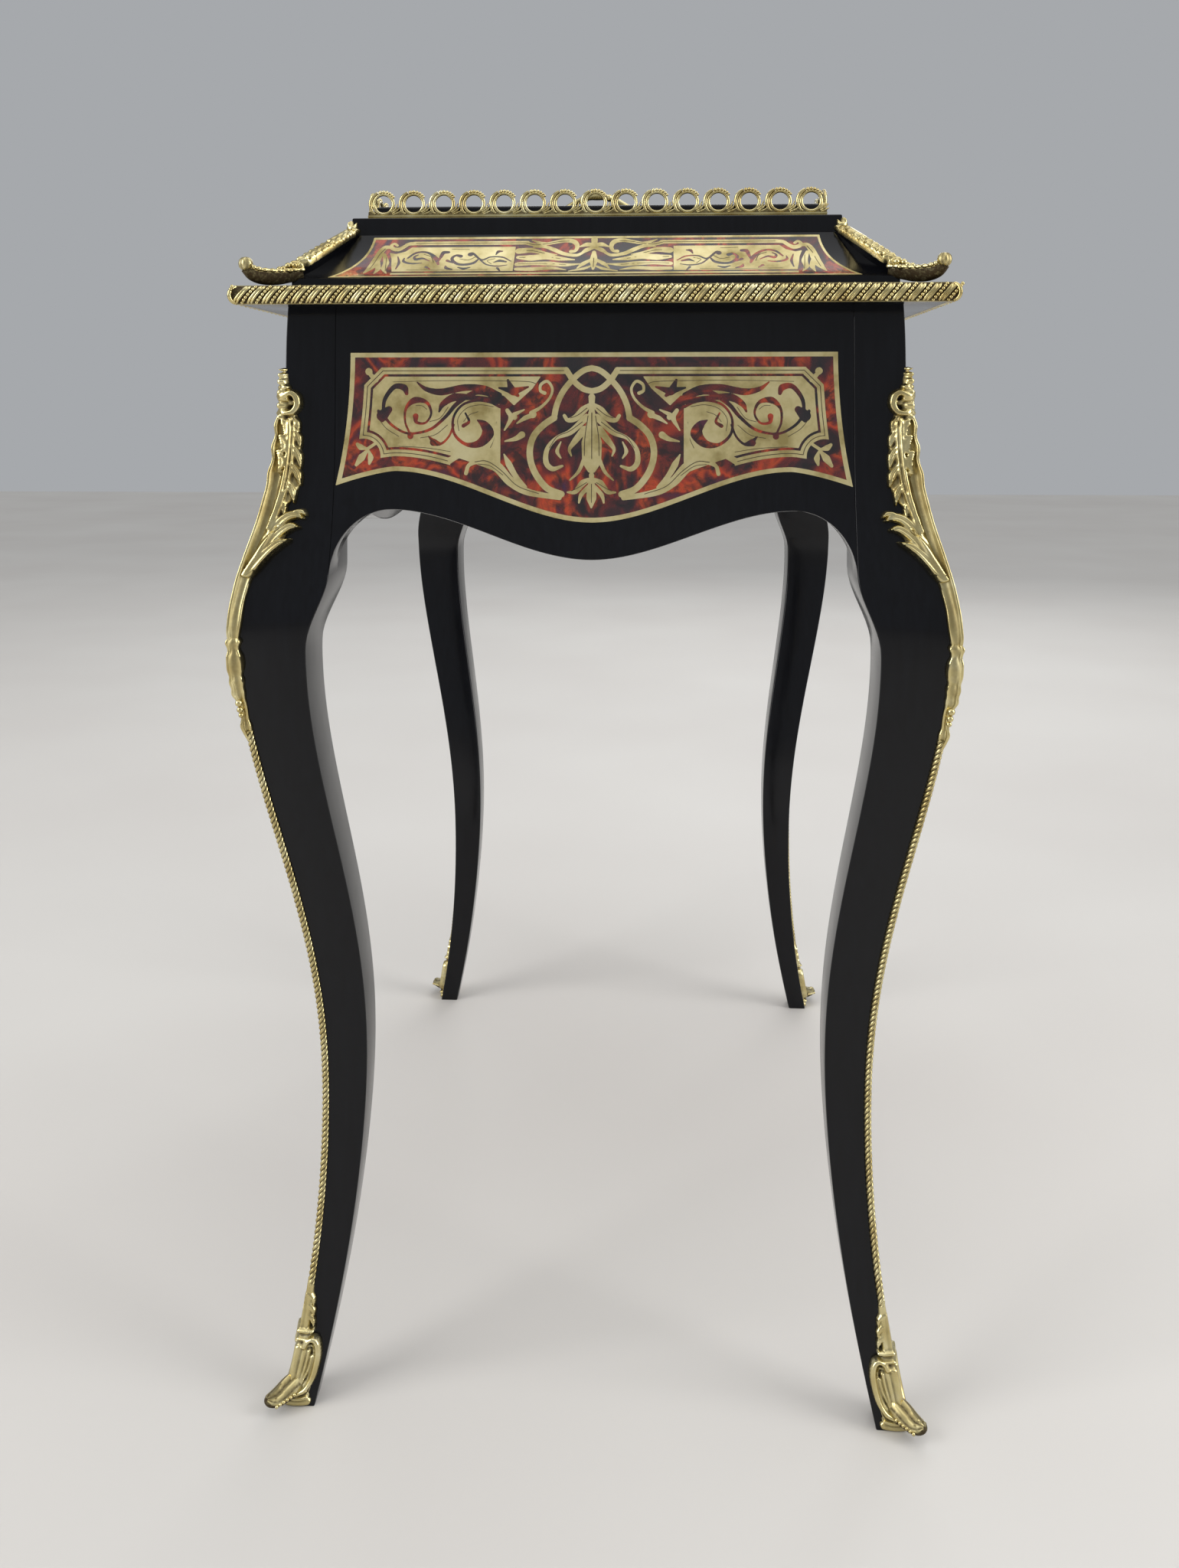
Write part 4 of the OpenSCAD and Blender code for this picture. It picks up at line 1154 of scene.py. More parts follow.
def cavetto_drawing(k):
    """Brass of the cavetto panel and the whole panel."""
    long = spare(k)
    sheet = Sheet(COVE_HALF + long - FOOT_INSET, 0, COVE_ARC + 1, CELL)
    up = np.linspace(0, COVE_ARC, 20)
    ends = (hollow(up)[0] + long - mix(FOOT_INSET, TOP_INSET, up / COVE_ARC)
            - END_HOLLOW * np.sin(math.pi * up / COVE_ARC))
    panel = within(
        sheet.polygon([(PAST_MIDDLE, -1)] + list(zip(ends, up)) + [(PAST_MIDDLE, COVE_ARC)]),
        MARGIN - sheet.Y, sheet.Y - COVE_ARC + MARGIN)
    field = sheet.polygon([(x + (long if x > LONG_FROM else 0), up_cove(v))
                           for x, v in COVE_FIELD])
    groups = [0, SCROLL_STEP] if long else [0]
    cuts = both(*[strokes(sheet, on_cove(COVE_CUTS), shift) for shift in groups])
    foot = within(np.abs(sheet.Y - FOOT_LINE) - FOOT_HALF, sheet.X - FOOT_END - long)
    strap = sheet.stroke([(45, STRAP_UP), (122 + long, STRAP_UP)], [1.5], curved=False)
    brass = both(within(panel, -panel - OUTLINE), within(field, -cuts), foot, strap,
                 strokes(sheet, on_cove(COVE_CENTRE)), strokes(sheet, on_cove(COVE_CORNER), long))
    return sheet, within(brass, panel), panel


# Castings in relief
class Relief:
    """A casting drawn as heights over a board: of forms that meet, the highest one shows."""

    # How far round a point, in cells, its surroundings are measured; how much painted shade and
    # dirt darken it where those stand higher, and how much dirt lies everywhere
    AROUND = 6
    HOLLOW_SHADE_AND_DIRT = 0.7
    FILM = 0.08
    # Over how much its edges sink, the least height there, and how far it reaches inwards
    SINK = 0.8
    THINNEST = 0.3
    BACK = -0.5

    def __init__(self, width, low_edge, high_edge, step=0.4):
        self.sheet = Sheet(width, low_edge, high_edge, step)
        self.field = self.sheet.empty()
        self.height = np.zeros(self.field.shape)

    def leaf(self, points, widths, base, rise, groove=0.0):
        """A rounded form along a line, with a vein down its middle."""
        signed, across, _ = self.sheet.line(points, widths)
        u = np.clip(across, 0, 1)
        crown = np.sqrt(1 - u * u) * (1 - groove * np.exp(-(u / 0.24) ** 2))
        self.field = both(self.field, signed)
        self.height = np.where(signed < 0.3, np.maximum(self.height, base + rise * crown), self.height)

    def leaves(self, rows):
        for points, widths, base, rise, groove in rows:
            self.leaf(points, widths, base, rise, groove)

    def berry(self, x, y, radius, base, rise):
        self.leaf([(x, y), (x + 0.01, y)], [radius], base, rise)

    def beads(self, start, end, count, radii, base, rise):
        for t in np.linspace(0, 1, count):
            x, y = mix(start[0], end[0], t), mix(start[1], end[1], t)
            radius = mix(radii[0], radii[-1], t)
            self.berry(x, y, radius, base, rise * radius)

    def berries(self, rows, base):
        for x, y, radius in rows:
            self.berry(x, y, radius, base, radius * 0.95)

    def cast(self, solid, place, pitch):
        """Adds the casting to the solid, with its hollows marked dark: painted shade with old dirt."""
        x, y, height = self.sheet.whole(blurred(self.height, 1))
        _, _, around = self.sheet.whole(blurred(self.height, self.AROUND))
        _, _, field = self.sheet.whole(self.field)
        cut = cut_out(x, y, field, pitch, 0.06)
        tops = sample(x, y, height, cut[0])
        # Painted shade with dirt: darker where the surroundings stand higher
        deep = np.clip((sample(x, y, around, cut[0]) - tops) * self.HOLLOW_SHADE_AND_DIRT + self.FILM, 0, 1)
        edge = np.clip(-sample(x, y, field, cut[0]) / self.SINK, 0, 1)
        top = np.maximum(tops * mix(0.45, 1, ease(edge)), self.THINNEST)
        add_sheet(solid, cut, place, top, self.BACK, deep)


def blurred(field, reach):
    """The field, averaged over a square of cells that reach so far each way."""
    for axis in (0, 1):
        padded = np.apply_along_axis(np.pad, axis, field, reach + 1, "edge")
        total = np.cumsum(padded, axis)
        n = field.shape[axis]
        upper = np.take(total, np.arange(n) + 2 * reach + 1, axis)
        field = (upper - np.take(total, np.arange(n), axis)) / (2 * reach + 1)
    return field


def on_hip(k):
    """Places points of (distance from the hip, arc length up it) on the bed over the cavetto's
    corner; past the cavetto they climb the cap."""
    def place(points, out):
        s, v = points.T
        up = np.clip(v, -3, COVE_ARC)
        over = np.maximum(v - COVE_ARC, 0)
        line, z, sin, cos = hollow(up)
        turn = np.clip(over / 4, 0, 1)
        sin, cos = mix(sin, 1, turn), mix(cos, 0, turn)
        lift = bed(v)
        line, z = line + lift * sin, z + lift * cos + over
        return beside_arris(s, line, out * sin, z + out * cos, 5, k)
    return place


def bed(v):
    """How far the bed under a corner mount stands out: it bridges the hollow nearly straight."""
    share = np.clip(v / COVE_ARC, 0, 1)
    half = math.pi / 4 - HOLLOW_FOOT
    chord = HOLLOW_R * (1 - math.cos(half) / np.cos(mix(-half, half, share)))
    return chord + 1.8 + 2.6 * (1 - share) - 1.4 * np.clip((v - COVE_ARC) / 4, 0, 1)


# How far a bed reaches from the hip along each of its two faces
BED_W = 5.6


def hip_beds():
    """The ebonised beds that the corner mounts lie on."""
    solid = Solid()
    for k in range(4):
        rings = []
        for v in np.linspace(-1, COVE_ARC + 3, 30):
            line, z, sin, cos = hollow(min(v, COVE_ARC))
            z += max(v - COVE_ARC, 0)
            lift = float(bed(v))
            top, wall = line + lift * sin, line + lift * sin - BED_W
            over, under = z + lift * cos, z - 1.5
            core = min(line, wall) - 3
            rings.append(to_corner([
                (top, wall, over), (top, top, over), (wall, top, over),
                (wall, core, under), (core, core, under), (core, wall, under)], k))
        solid.add(*loft(rings))
    solid.make("corner_mount_beds", EBONY, slot="ebonised_wood", crease=MOULDED)


# Rows of a relief: points in (distance from the arris, z), half-widths, base, rise, vein
KNEE_LEAVES = [
    ([(5, 651), (6.2, 640), (7.8, 626), (9, 612), (9.6, 602), (7.6, 592)], [3, 4.2, 4.8, 5, 4.6, 2],
     1.6, 1.4, 0),
    ([(5.6, 650), (9, 645), (10.6, 640)], [1.8, 2.2, 0.6], 2.2, 2.6, 0.5),
    ([(6.4, 641), (10.4, 635.6), (12.4, 629)], [2, 2.6, 0.6], 2.2, 2.8, 0.5),
    ([(7, 630), (11.6, 623.6), (14, 616)], [2, 2.8, 0.6], 2.4, 3, 0.5),
    ([(7.6, 618), (12.6, 611.6), (15.4, 604.6)], [2, 3, 0.8], 2.4, 3.2, 0.5),
    ([(7, 606), (11.4, 600), (13.6, 593)], [2, 2.6, 0.6], 2.2, 2.8, 0.5),
    ([(4.6, 596), (8, 590), (9.6, 584)], [1.6, 2, 0.5], 2.6, 2.2, 0.4),
    ([(4.6, 648), (4.8, 634), (4.8, 616), (4.2, 598), (3, 576)], [0.9, 1.2, 1.2, 1, 0.7], 5, 2, 0),
    ([(7, 646), (7.4, 630), (7.6, 614), (6.6, 598), (4.6, 582)], [0.7, 1, 1, 0.9, 0.6], 3.8, 2, 0),
    ([(1.8, 647), (3.4, 641), (2.6, 636)], [1.2, 1.8, 0.6], 4.6, 2.4, 0.4),
    ([(1.6, 637), (3.2, 630), (2.2, 624)], [1.4, 2, 0.6], 4.8, 2.8, 0.4),
    ([(1.4, 627), (3, 619), (1.8, 612)], [1.4, 2, 0.6], 5, 2.8, 0.4),
    ([(2.4, 651.4), (6.6, 652.6), (9.2, 657), (8.2, 662.4), (4.8, 664.8), (1.6, 662.6)],
     [1.8, 2.4, 2.8, 2.8, 2.4, 1.6], 3.6, 3.4, 0.2),
    ([(4.8, 658.4), (5, 658.5)], [2.2], 2, 1.4, 0),
    ([(1, 650), (1, 662), (0, 674)], [3, 3, 2], 1.6, 1.4, 0),
    ([(2, 550), (5, 561), (9.6, 572)], [2, 3.4, 4.6], 1.6, 1, 0),
    ([(4.6, 612), (4.2, 590), (3, 560)], [3, 4, 2], 2.6, 1, 0),
    ([(5.8, 600), (5.4, 588), (3.6, 566)], [0.7, 0.9, 0.5], 3.6, 2.4, 0),
    ([(1.4, 556), (4.6, 571), (9.4, 581.6), (16, 585.4), (23.6, 583)], [1.2, 3.4, 4.2, 3.2, 0.5],
     2.6, 3.2, 0.35),
    ([(16, 588), (20.6, 587.6), (24.4, 585)], [1, 2, 0.7], 3.2, 2.4, 0),
    ([(3.4, 558), (8.6, 570.6), (15.2, 577.6), (22.4, 577.6)], [1.4, 3.4, 3.2, 0.5], 3.2, 3.4, 0.35),
    ([(1.4, 547), (5.4, 558.8), (11.4, 566.4), (19.2, 570)], [1.8, 3.4, 3.2, 0.5], 3.8, 3.6, 0.35),
    ([(0.8, 547), (2.6, 558), (4.4, 568), (8, 578)], [1.2, 1.4, 1.2, 0.6], 5.4, 2.2, 0)]
KNEE_BERRIES = [(1.9, 644.6, 1.9), (0, 648.8, 2.2), (2, 652.6, 2), (0, 656.6, 2.3), (1.9, 661, 2.2),
                (0, 665, 2.3), (2.2, 668.4, 1.9), (0, 672.2, 2.1), (0, 676.6, 1.8), (0, 680, 1.2)]
# Fluted strips along the arris: z, reach on each face, how far their ridge and edges stand out
KNEE_STRIP = [(650, 1.6, 4, 1.6), (644, 2.4, 5.6, 2), (637, 2, 4.9, 2.2), (630, 2.8, 6.4, 2.4),
              (622, 2.2, 5.4, 2.6), (613, 3, 6.8, 2.8), (606, 2.8, 6.4, 3), (596, 3, 6.8, 3),
              (580, 3, 7, 3), (562, 2.8, 7, 3), (548, 2.2, 6.8, 2.7), (532, 2.2, 6, 2.6),
              (519, 2.8, 5.4, 2.8), (511, 1.8, 5.4, 2.6), (508, 1.2, 5, 2.2)]
KNEE_HUSK = [(509, 1, 4.6, 2), (507.6, 2, 5.6, 3), (505.4, 2.6, 6.2, 3.8), (503.4, 1.6, 5.6, 3),
             (501, 1.2, 5.2, 2.6), (497, 2.6, 6, 3.6), (493, 3.2, 6.2, 4), (488, 2.8, 6.2, 3.6),
             (484, 1.6, 5.6, 2.8), (480, 2.2, 6, 3), (476, 1.6, 5.4, 2.6), (472, 1.8, 5.6, 2.6),
             (469, 1.4, 4.4, 2), (466, 1.6, 3, 1.6), (458, 1.4, 2.8, 1.4), (455, 1.2, 3.4, 1.4),
             (451, 2, 4.4, 2.2), (447, 1.6, 3.8, 1.8), (441, 0.6, 2.4, 0.8)]

SABOT_LEAVES = [
    ([(0, 78), (0.6, 70), (0.8, 62)], [0.6, 1.6, 2], 2, 1.8, 0.3),
    ([(0.6, 66), (1, 57), (1.2, 47)], [1.8, 2.4, 2.8], 2.2, 2, 0.4),
    ([(1.8, 66), (3.6, 63), (4.4, 59)], [1.2, 1.4, 0.5], 2, 1.8, 0.3),
    ([(2.4, 60), (4.6, 56.6), (5.6, 52)], [1.4, 1.6, 0.5], 2, 2, 0.3),
    ([(3, 54), (5.4, 50.6), (6.8, 46.6)], [1.4, 1.7, 0.5], 2, 2, 0.3),
    ([(0, 45), (3, 45), (6.6, 45.6)], [1.5], 3.4, 2.2, 0),
    ([(1.6, 43), (2.2, 37)], [3.4, 4.4], 1.8, 1.2, 0.3),
    ([(0, 39.8), (3.6, 40)], [1], 3.2, 1.8, 0),
    ([(3, 34), (5.4, 23), (4, 10)], [6, 8, 8], 0.9, 0.5, 0),
    ([(6, 13.6), (8.4, 22), (9.2, 29.6)], [0.7, 1.1, 1.3], 1.6, 2, 0),
    ([(4.6, 13), (6, 23), (6.6, 33)], [0.8, 1.2, 1.4], 1.8, 2.1, 0),
    ([(3, 12.6), (3.4, 24), (3.8, 34.6)], [0.8, 1.2, 1.4], 2, 2.2, 0),
    ([(1.2, 12.6), (0.8, 24), (1, 35)], [0.8, 1.2, 1.5], 2.4, 2.4, 0),
    ([(3.4, 35.4), (4.4, 38.8), (7.6, 40.4), (11, 37.6), (12.8, 31.5), (13, 24), (12, 16.5), (9, 11),
      (4.6, 8.6)], [1.4, 1.8, 2.1, 2.3, 2.4, 2.4, 2.3, 2.1, 1.8], 2.2, 3.4, 0),
    ([(5.6, 35.6), (8.4, 36), (10.2, 31), (10.4, 24), (9.4, 17), (7, 12.6)],
     [0.5, 0.8, 0.8, 0.8, 0.8, 0.5], 1.9, 1.4, 0),
    ([(0, 2.4), (6, 2.4), (12.4, 3)], [2.3], 1.2, 1, 0),
    ([(0, 5.4), (6, 5.2), (11.6, 6.2)], [1.4], 2.4, 1.6, 0)]

HIP_LEAVES = [
    ([(0, -2), (0, 10), (0, 30), (0, 52)], [5, 4.4, 3.6, 1.6], 0.8, 0.8, 0),
    ([(0, 56), (0, 52), (0, 46)], [0.6, 1.8, 1], 1.6, 2.2, 0.4),
    ([(0.8, 51), (2.6, 52.6), (3.6, 55)], [1.2, 1.4, 0.4], 1.4, 2, 0.3),
    ([(0, 49), (0, 42), (0, 34)], [1, 2.2, 1], 3, 2.6, 0.4)]
for at in range(14, 50, 5):
    tip = 7.4 - at / 22
    HIP_LEAVES += [([(1.6, at + 3), (4.4, at + 0.4), (tip, at - 4.6)], [1.2, 1.9, 0.4], 1.8, 2.8, 0.4),
                   ([(1.2, at + 1), (2.8, at - 1.6), (4, at - 5)], [0.8, 1.3, 0.4], 3, 2.6, 0.3)]
HIP_BERRIES = [(0, 29.4, 2.2), (2.2, 27, 1.9), (0, 25, 2.3), (2.3, 22.6, 2), (0, 20.4, 2.3),
               (4.6, 24.6, 1.5), (2.3, 18, 2), (0, 15.6, 2.3), (4.6, 19.6, 1.5), (2.4, 12.8, 2.1),
               (0, 10.4, 2.4), (4.8, 14.4, 1.6), (2.8, 8, 2.1), (0, 5.2, 2.3), (5.2, 8.8, 1.6),
               (3, 3, 1.9), (5.6, 3.8, 1.5)]


def arris_strip(solid, k, rows):
    """A fluted strip that wraps the arris of a leg."""
    table = np.array(rows[::-1]).T
    curves = [smooth_between(table[0], column) for column in table[1:]]
    shade = [0.1, 0.1, 0, 0, 0.15, 0.35, 0.45, 0.3, 0.1, 0, 0, 0]
    rings = []
    for z in np.linspace(table[0][0], table[0][-1], 70):
        reach, proud, edge = [float(curve(z)) for curve in curves]
        start, end = np.array([1.9 - reach, edge - 0.3]), np.array([proud - 1.8, proud - 0.4])
        dip = np.array([(start[0] + end[0]) / 2 + 1.2, edge - 0.4])
        half = [(-reach, -0.4), (-reach, edge * 0.6), (0.5 - reach, edge), (1.3 - reach, edge + 0.1)]
        half += [bent(start, dip, end, t) for t in (0, 0.25, 0.5, 0.75, 1)]
        half += [(proud - 1.3, proud), (proud - 0.5, proud), (proud - 0.15, proud - 0.15)]
        half = np.array(half)
        ring = float(face(z)) + np.concatenate([half, half[-2::-1, ::-1]])
        rings.append(to_corner(np.column_stack([ring, np.full(len(ring), z)]), k))
    shades = np.tile(shade + shade[-2::-1], len(rings))
    solid.add(*loft(rings), shades)


def knee_mounts():
    relief = Relief(27, 542, 683)
    relief.leaves(KNEE_LEAVES)
    relief.berries(KNEE_BERRIES, 4)
    for k, corner in enumerate(CORNERS):
        solid = Solid()
        relief.cast(solid, on_arris(k), 0.6)
        for rows in (KNEE_STRIP, KNEE_HUSK):
            arris_strip(solid, k, rows)
        for z, radius in ((466.4, 2.5), (462, 2.2), (458.4, 1.8)):
            at = float(face(z)) + 2.6
            bead(solid, to_corner([(at, at, z)], k)[0], radius, 12)
        solid.make("knee_mount_bronze_" + corner, BRONZE, slot="gilt_bronze",
                   replaces=["knee_mount_" + corner], crease=CAST)


def keeled(solid, k, path, widths, rises, falls, ribs, cups=(0, 0)):
    """A leaf in the corner's diagonal plane along a path of (distance, z): its half-width, how far
    it rises over the path and falls below it, the ribs across its upper side, and how far its
    rims stand up."""
    turns = full_turn(28)
    share = np.linspace(0, 1, len(path))
    tables = [spread(t, share) for t in (widths, rises, falls, cups)]
    rings = []
    for i, (h, z) in enumerate(path):
        a, b = path[max(i - 1, 0)], path[min(i + 1, len(path) - 1)]
        along = (b - a) / np.linalg.norm(b - a)
        width, rise, fall, cup = [t[i] for t in tables]
        rib = 1 - 0.2 * np.abs(np.cos(ribs * turns / 2))
        side = width * np.cos(turns)
        lift = np.where(np.sin(turns) > 0, rise * rib, fall) * np.sin(turns) + cup * np.cos(turns) ** 4
        out = h - along[1] * lift
        rings.append(to_corner(np.column_stack([
            out + side * DIAGONAL, out - side * DIAGONAL, np.maximum(z + along[0] * lift, 0.2)]), k))
    # Painted shade: the underside is marked fully dark, and the grooves between the ribs darker
    shade_and_dirt = np.where(np.sin(turns) > -0.1, np.abs(np.cos(ribs * turns / 2)) ** 2 * 0.9, 1.0)
    solid.add(*loft(rings), np.tile(shade_and_dirt, len(rings)))


def toe(solid, k):
    """The toe, a ribbed leaf that runs out over the corner and turns up."""
    foot = float(face(0))
    path = spline([(foot - 5, 12.4), (foot - 1, 11.6), (foot + 3, 9.8), (foot + 6.6, 9),
                   (foot + 9.4, 9.8), (foot + 11, 11.4)], 6)
    keeled(solid, k, path, [7, 7.4, 7.2, 6.6, 5.2, 1.4], [8, 6, 4.6, 3.8, 3.2, 0.8],
           [8, 7.4, 5.6, 4.4, 3, 0.6], 7)
    for m in (-1, 1):
        for i in range(6):
            h, z = foot - 0.4 + 1.7 * i, 10.6 - 0.5 * i
            side = m * mix(5.3, 4.4, i / 5)
            centre = to_corner([(h + side, h - side, z)], k)[0]
            bead(solid, centre, 1.2)


def sabots():
    relief = Relief(17, 0, 80, 0.35)
    relief.leaves(SABOT_LEAVES)
    relief.beads((1.4, 8.8), (8.4, 9.4), 4, [1.6, 1.4], 3.2, 1)
    solid = Solid()
    for k in range(4):
        relief.cast(solid, on_arris(k), 0.6)
        toe(solid, k)
    solid.make("sabots_bronze", BRONZE, slot="gilt_bronze",
               replaces=named("sabot", CORNERS), crease=CAST)


def tongue(solid, k):
    """The leaf that runs from the cavetto's foot over the slab's corner to an upturned knob."""
    foot, rise = COVE_HALF, SLAB_TOP
    path = spline([(foot - 4, rise + 10.6), (foot + 2, rise + 8.4), (foot + 8, rise + 6.4),
                   (foot + 14, rise + 5.6), (foot + 19, rise + 7.2), (foot + 22.4, rise + 11.4)], 6)
    keeled(solid, k, path, [5.6, 6.2, 6, 5.4, 4.8, 4], [1, 1.6, 1.4, 1.2, 2, 3],
           [4, 4.2, 4.2, 3.8, 3.6, 3.2], 5, [2, 3.4, 4.4, 5, 4, 0.6])
    for m in (-1, 1):
        rim = [(h + m * w, h - m * w, z + up)
               for (h, z), w, up in zip(path, np.linspace(4.1, 3, len(path)),
                                        np.interp(np.arange(len(path)) / 6, range(6),
                                                  [2.4, 3.8, 4.8, 5.4, 4.4, 1.6]))]
        sizes = 1.3 + 0.35 * np.sin(np.arange(len(path)) * 1.7)
        solid.add(*loft([to_corner(r, k) for r in tube(rim, sizes, 8)]))
    for h, side, z, radius in ((2, 0, 15.2, 2.4), (0, 4, 15.6, 2.2), (5.4, 2.6, 12.8, 2.1),
                               (9, 0, 10.8, 1.9), (-3, 1.6, 17, 2.2), (3, 6.4, 11.6, 1.8)):
        for m in ((-1, 1) if side else (1,)):
            place = (foot + h + m * side * DIAGONAL, foot + h - m * side * DIAGONAL, rise + z)
            bead(solid, to_corner([place], k)[0], radius)
    turns = full_turn(24)
    lobes = 1 - 0.07 * np.cos(6 * turns)
    profile = [(0.2, -4.6), (2.4, -4.2), (4, -2.4), (4.5, 0), (4, 2.4), (2.6, 3.9), (0.6, 4.4)]
    bud = [np.column_stack([r * lobes * np.cos(turns), r * lobes * np.sin(turns),
                            np.full(24, h)]) + (SLAB_HALF - 1.8, SLAB_HALF - 1.8, rise + 14.5)
           for r, h in profile]
    # Painted shade with dirt: the bud is marked darker in its grooves
    solid.add(*loft([to_corner(r, k) for r in bud]), np.tile(0.35 + 0.35 * np.cos(6 * turns), 7))


def corner_mounts():
    relief = Relief(9.4, -3, COVE_ARC + 11, 0.35)
    relief.leaves(HIP_LEAVES)
    relief.berries(HIP_BERRIES, 3)
    solid = Solid()
    for k in range(4):
        relief.cast(solid, on_hip(k), 0.6)
        tongue(solid, k)
    solid.make("corner_mounts_bronze", BRONZE, slot="gilt_bronze",
               replaces=named("corner_mount", CORNERS), crease=CAST)


def turned(profile, sides=24):
    """Points and faces of a form turned on the lathe, from its (radius, height) profile."""
    return loft([[(r * math.cos(t), r * math.sin(t), z) for t in full_turn(sides)]
                 for r, z in profile])


# What repeats is grown by Geometry Nodes
def growing(name, inputs):
    """An empty tree with named inputs and a geometry output."""
    tree = bpy.data.node_groups.new(name, "GeometryNodeTree")
    for label, kind in inputs:
        tree.interface.new_socket(name=label, in_out="INPUT", socket_type="NodeSocket" + kind)
    tree.interface.new_socket(name="Geometry", in_out="OUTPUT", socket_type="NodeSocketGeometry")
    return tree, add(tree, "NodeGroupInput").outputs


def calculated(tree, operation, a, b=0.0, c=0.0):
    return add(tree, "ShaderNodeMath", {0: a, 1: b, 2: c}, operation=operation)


def finished(tree, geometry, material):
    """Ends a tree with real meshes, smooth and in their material."""
    real = add(tree, "GeometryNodeRealizeInstances", {"Geometry": geometry})
    dressed = add(tree, "GeometryNodeSetMaterial", {"Geometry": real, "Material": material})
    add(tree, "NodeGroupOutput", {"Geometry": dressed})
    return tree


def rope_tree():
    """A laid rope of three strands along each line of edges."""
    tree, given = growing("laid_rope", [("Geometry", "Geometry"), ("Radius", "Float"),
                                        ("Lay", "Float"), ("Step", "Float"), ("Material", "Material")])
    line = add(tree, "GeometryNodeMeshToCurve", {"Mesh": given["Geometry"]})
    line = add(tree, "GeometryNodeResampleCurve", {"Curve": line, "Length": given["Step"]},
               mode="LENGTH")
    length = add(tree, "GeometryNodeSplineParameter").outputs["Length"]
    turns = calculated(tree, "DIVIDE", length, given["Lay"])
    tilt = calculated(tree, "MULTIPLY", turns, 2 * math.pi)
    line = add(tree, "GeometryNodeSetCurveTilt", {"Curve": line, "Tilt": tilt})
    ring = add(tree, "GeometryNodeCurvePrimitiveCircle", {"Resolution": 18, "Radius": 1.0})
    share = add(tree, "GeometryNodeSplineParameter").outputs["Factor"]
    angle = calculated(tree, "MULTIPLY", share, 3 * math.pi)
    lobe = calculated(tree, "ABSOLUTE", calculated(tree, "COSINE", angle))
    size = calculated(tree, "MULTIPLY", calculated(tree, "MULTIPLY_ADD", lobe, 0.34, 0.66),
                      given["Radius"])
    here = add(tree, "GeometryNodeInputPosition")
    place = add(tree, "ShaderNodeVectorMath", {0: here, "Scale": size}, operation="SCALE")
    ring = add(tree, "GeometryNodeSetPosition", {"Geometry": ring, "Position": place})
    # Painted shade with dirt: darker in the grooves between the strands
    shade_and_dirt = calculated(tree, "MULTIPLY", calculated(tree, "SUBTRACT", 0.8, lobe), 1.2)
    ring = add(tree, "GeometryNodeStoreNamedAttribute",
               {"Geometry": ring, "Name": "recess", "Value": shade_and_dirt})
    rope = add(tree, "GeometryNodeCurveToMesh",
               {"Curve": line, "Profile Curve": ring, "Fill Caps": True})
    return finished(tree, rope, given["Material"])


def row_tree():
    """Copies of a casting along each line of edges, evenly spaced and facing outwards."""
    tree, given = growing("castings_in_a_row", [("Geometry", "Geometry"), ("Unit", "Object"),
                                                ("Spacing", "Float"), ("Material", "Material")])
    line = add(tree, "GeometryNodeMeshToCurve", {"Mesh": given["Geometry"]})
    points = add(tree, "GeometryNodeCurveToPoints", {"Curve": line, "Length": given["Spacing"]},
                 mode="LENGTH")
    unit = add(tree, "GeometryNodeObjectInfo", {"Object": given["Unit"]})
    turn = add(tree, "FunctionNodeAlignRotationToVector", {"Vector": points.outputs["Tangent"]},
               axis="X", pivot_axis="Z")
    row = add(tree, "GeometryNodeInstanceOnPoints", {
        "Points": points, "Instance": unit.outputs["Geometry"], "Rotation": turn})
    return finished(tree, row, given["Material"])


def grown(name, lines, tree, values, replaces=()):
    """The plain mesh that a tree grows along lines of points in millimetres."""
    mesh = bpy.data.meshes.new(name)
    points, edges = [], []
    for line in lines:
        edges += [(len(points) + i, len(points) + i + 1) for i in range(len(line) - 1)]
        points += [tuple(np.asarray(p) * MM) for p in line]
    mesh.from_pydata(points, edges, [])
    seed = placed(name + "_lines", mesh)
    modifier = seed.modifiers.new("grown", "NODES")
    modifier.node_group = tree
    sockets = {s.name: s.identifier for s in tree.interface.items_tree if s.in_out == "INPUT"}
    for label, value in values.items():
        modifier[sockets[label]] = value
    graph = bpy.context.evaluated_depsgraph_get()
    made = bpy.data.meshes.new_from_object(seed.evaluated_get(graph))
    bpy.data.objects.remove(seed)
    made.shade_smooth()
    made.set_sharp_from_angle(angle=math.radians(CAST))
    return settle(placed(name, made), "root", replaces)


def arris_trims():
    lines = []
    for k in range(4):
        heights = np.arange(SABOT_H - 2, TRIM_TOP + 1, 4)
        at = [float(face(z)) + 0.5 for z in heights]
        lines.append(to_corner([(h, h, z) for h, z in zip(at, heights)], k))
    values = {"Radius": 2.5 * MM, "Lay": 11 * MM, "Step": 0.6 * MM, "Material": BRONZE}
    grown("arris_ropes", lines, rope_tree(), values, named("arris_trim", CORNERS))


def bead(solid, centre, radius, sides=8, value=0.0):
    heights = [-0.96, -0.55, 0, 0.55, 0.96]
    points, faces = turned([(math.sqrt(1 - h * h), h) for h in heights], sides)
    solid.add(points * radius + centre, faces, value)


CHASING_PITCH = 9.4


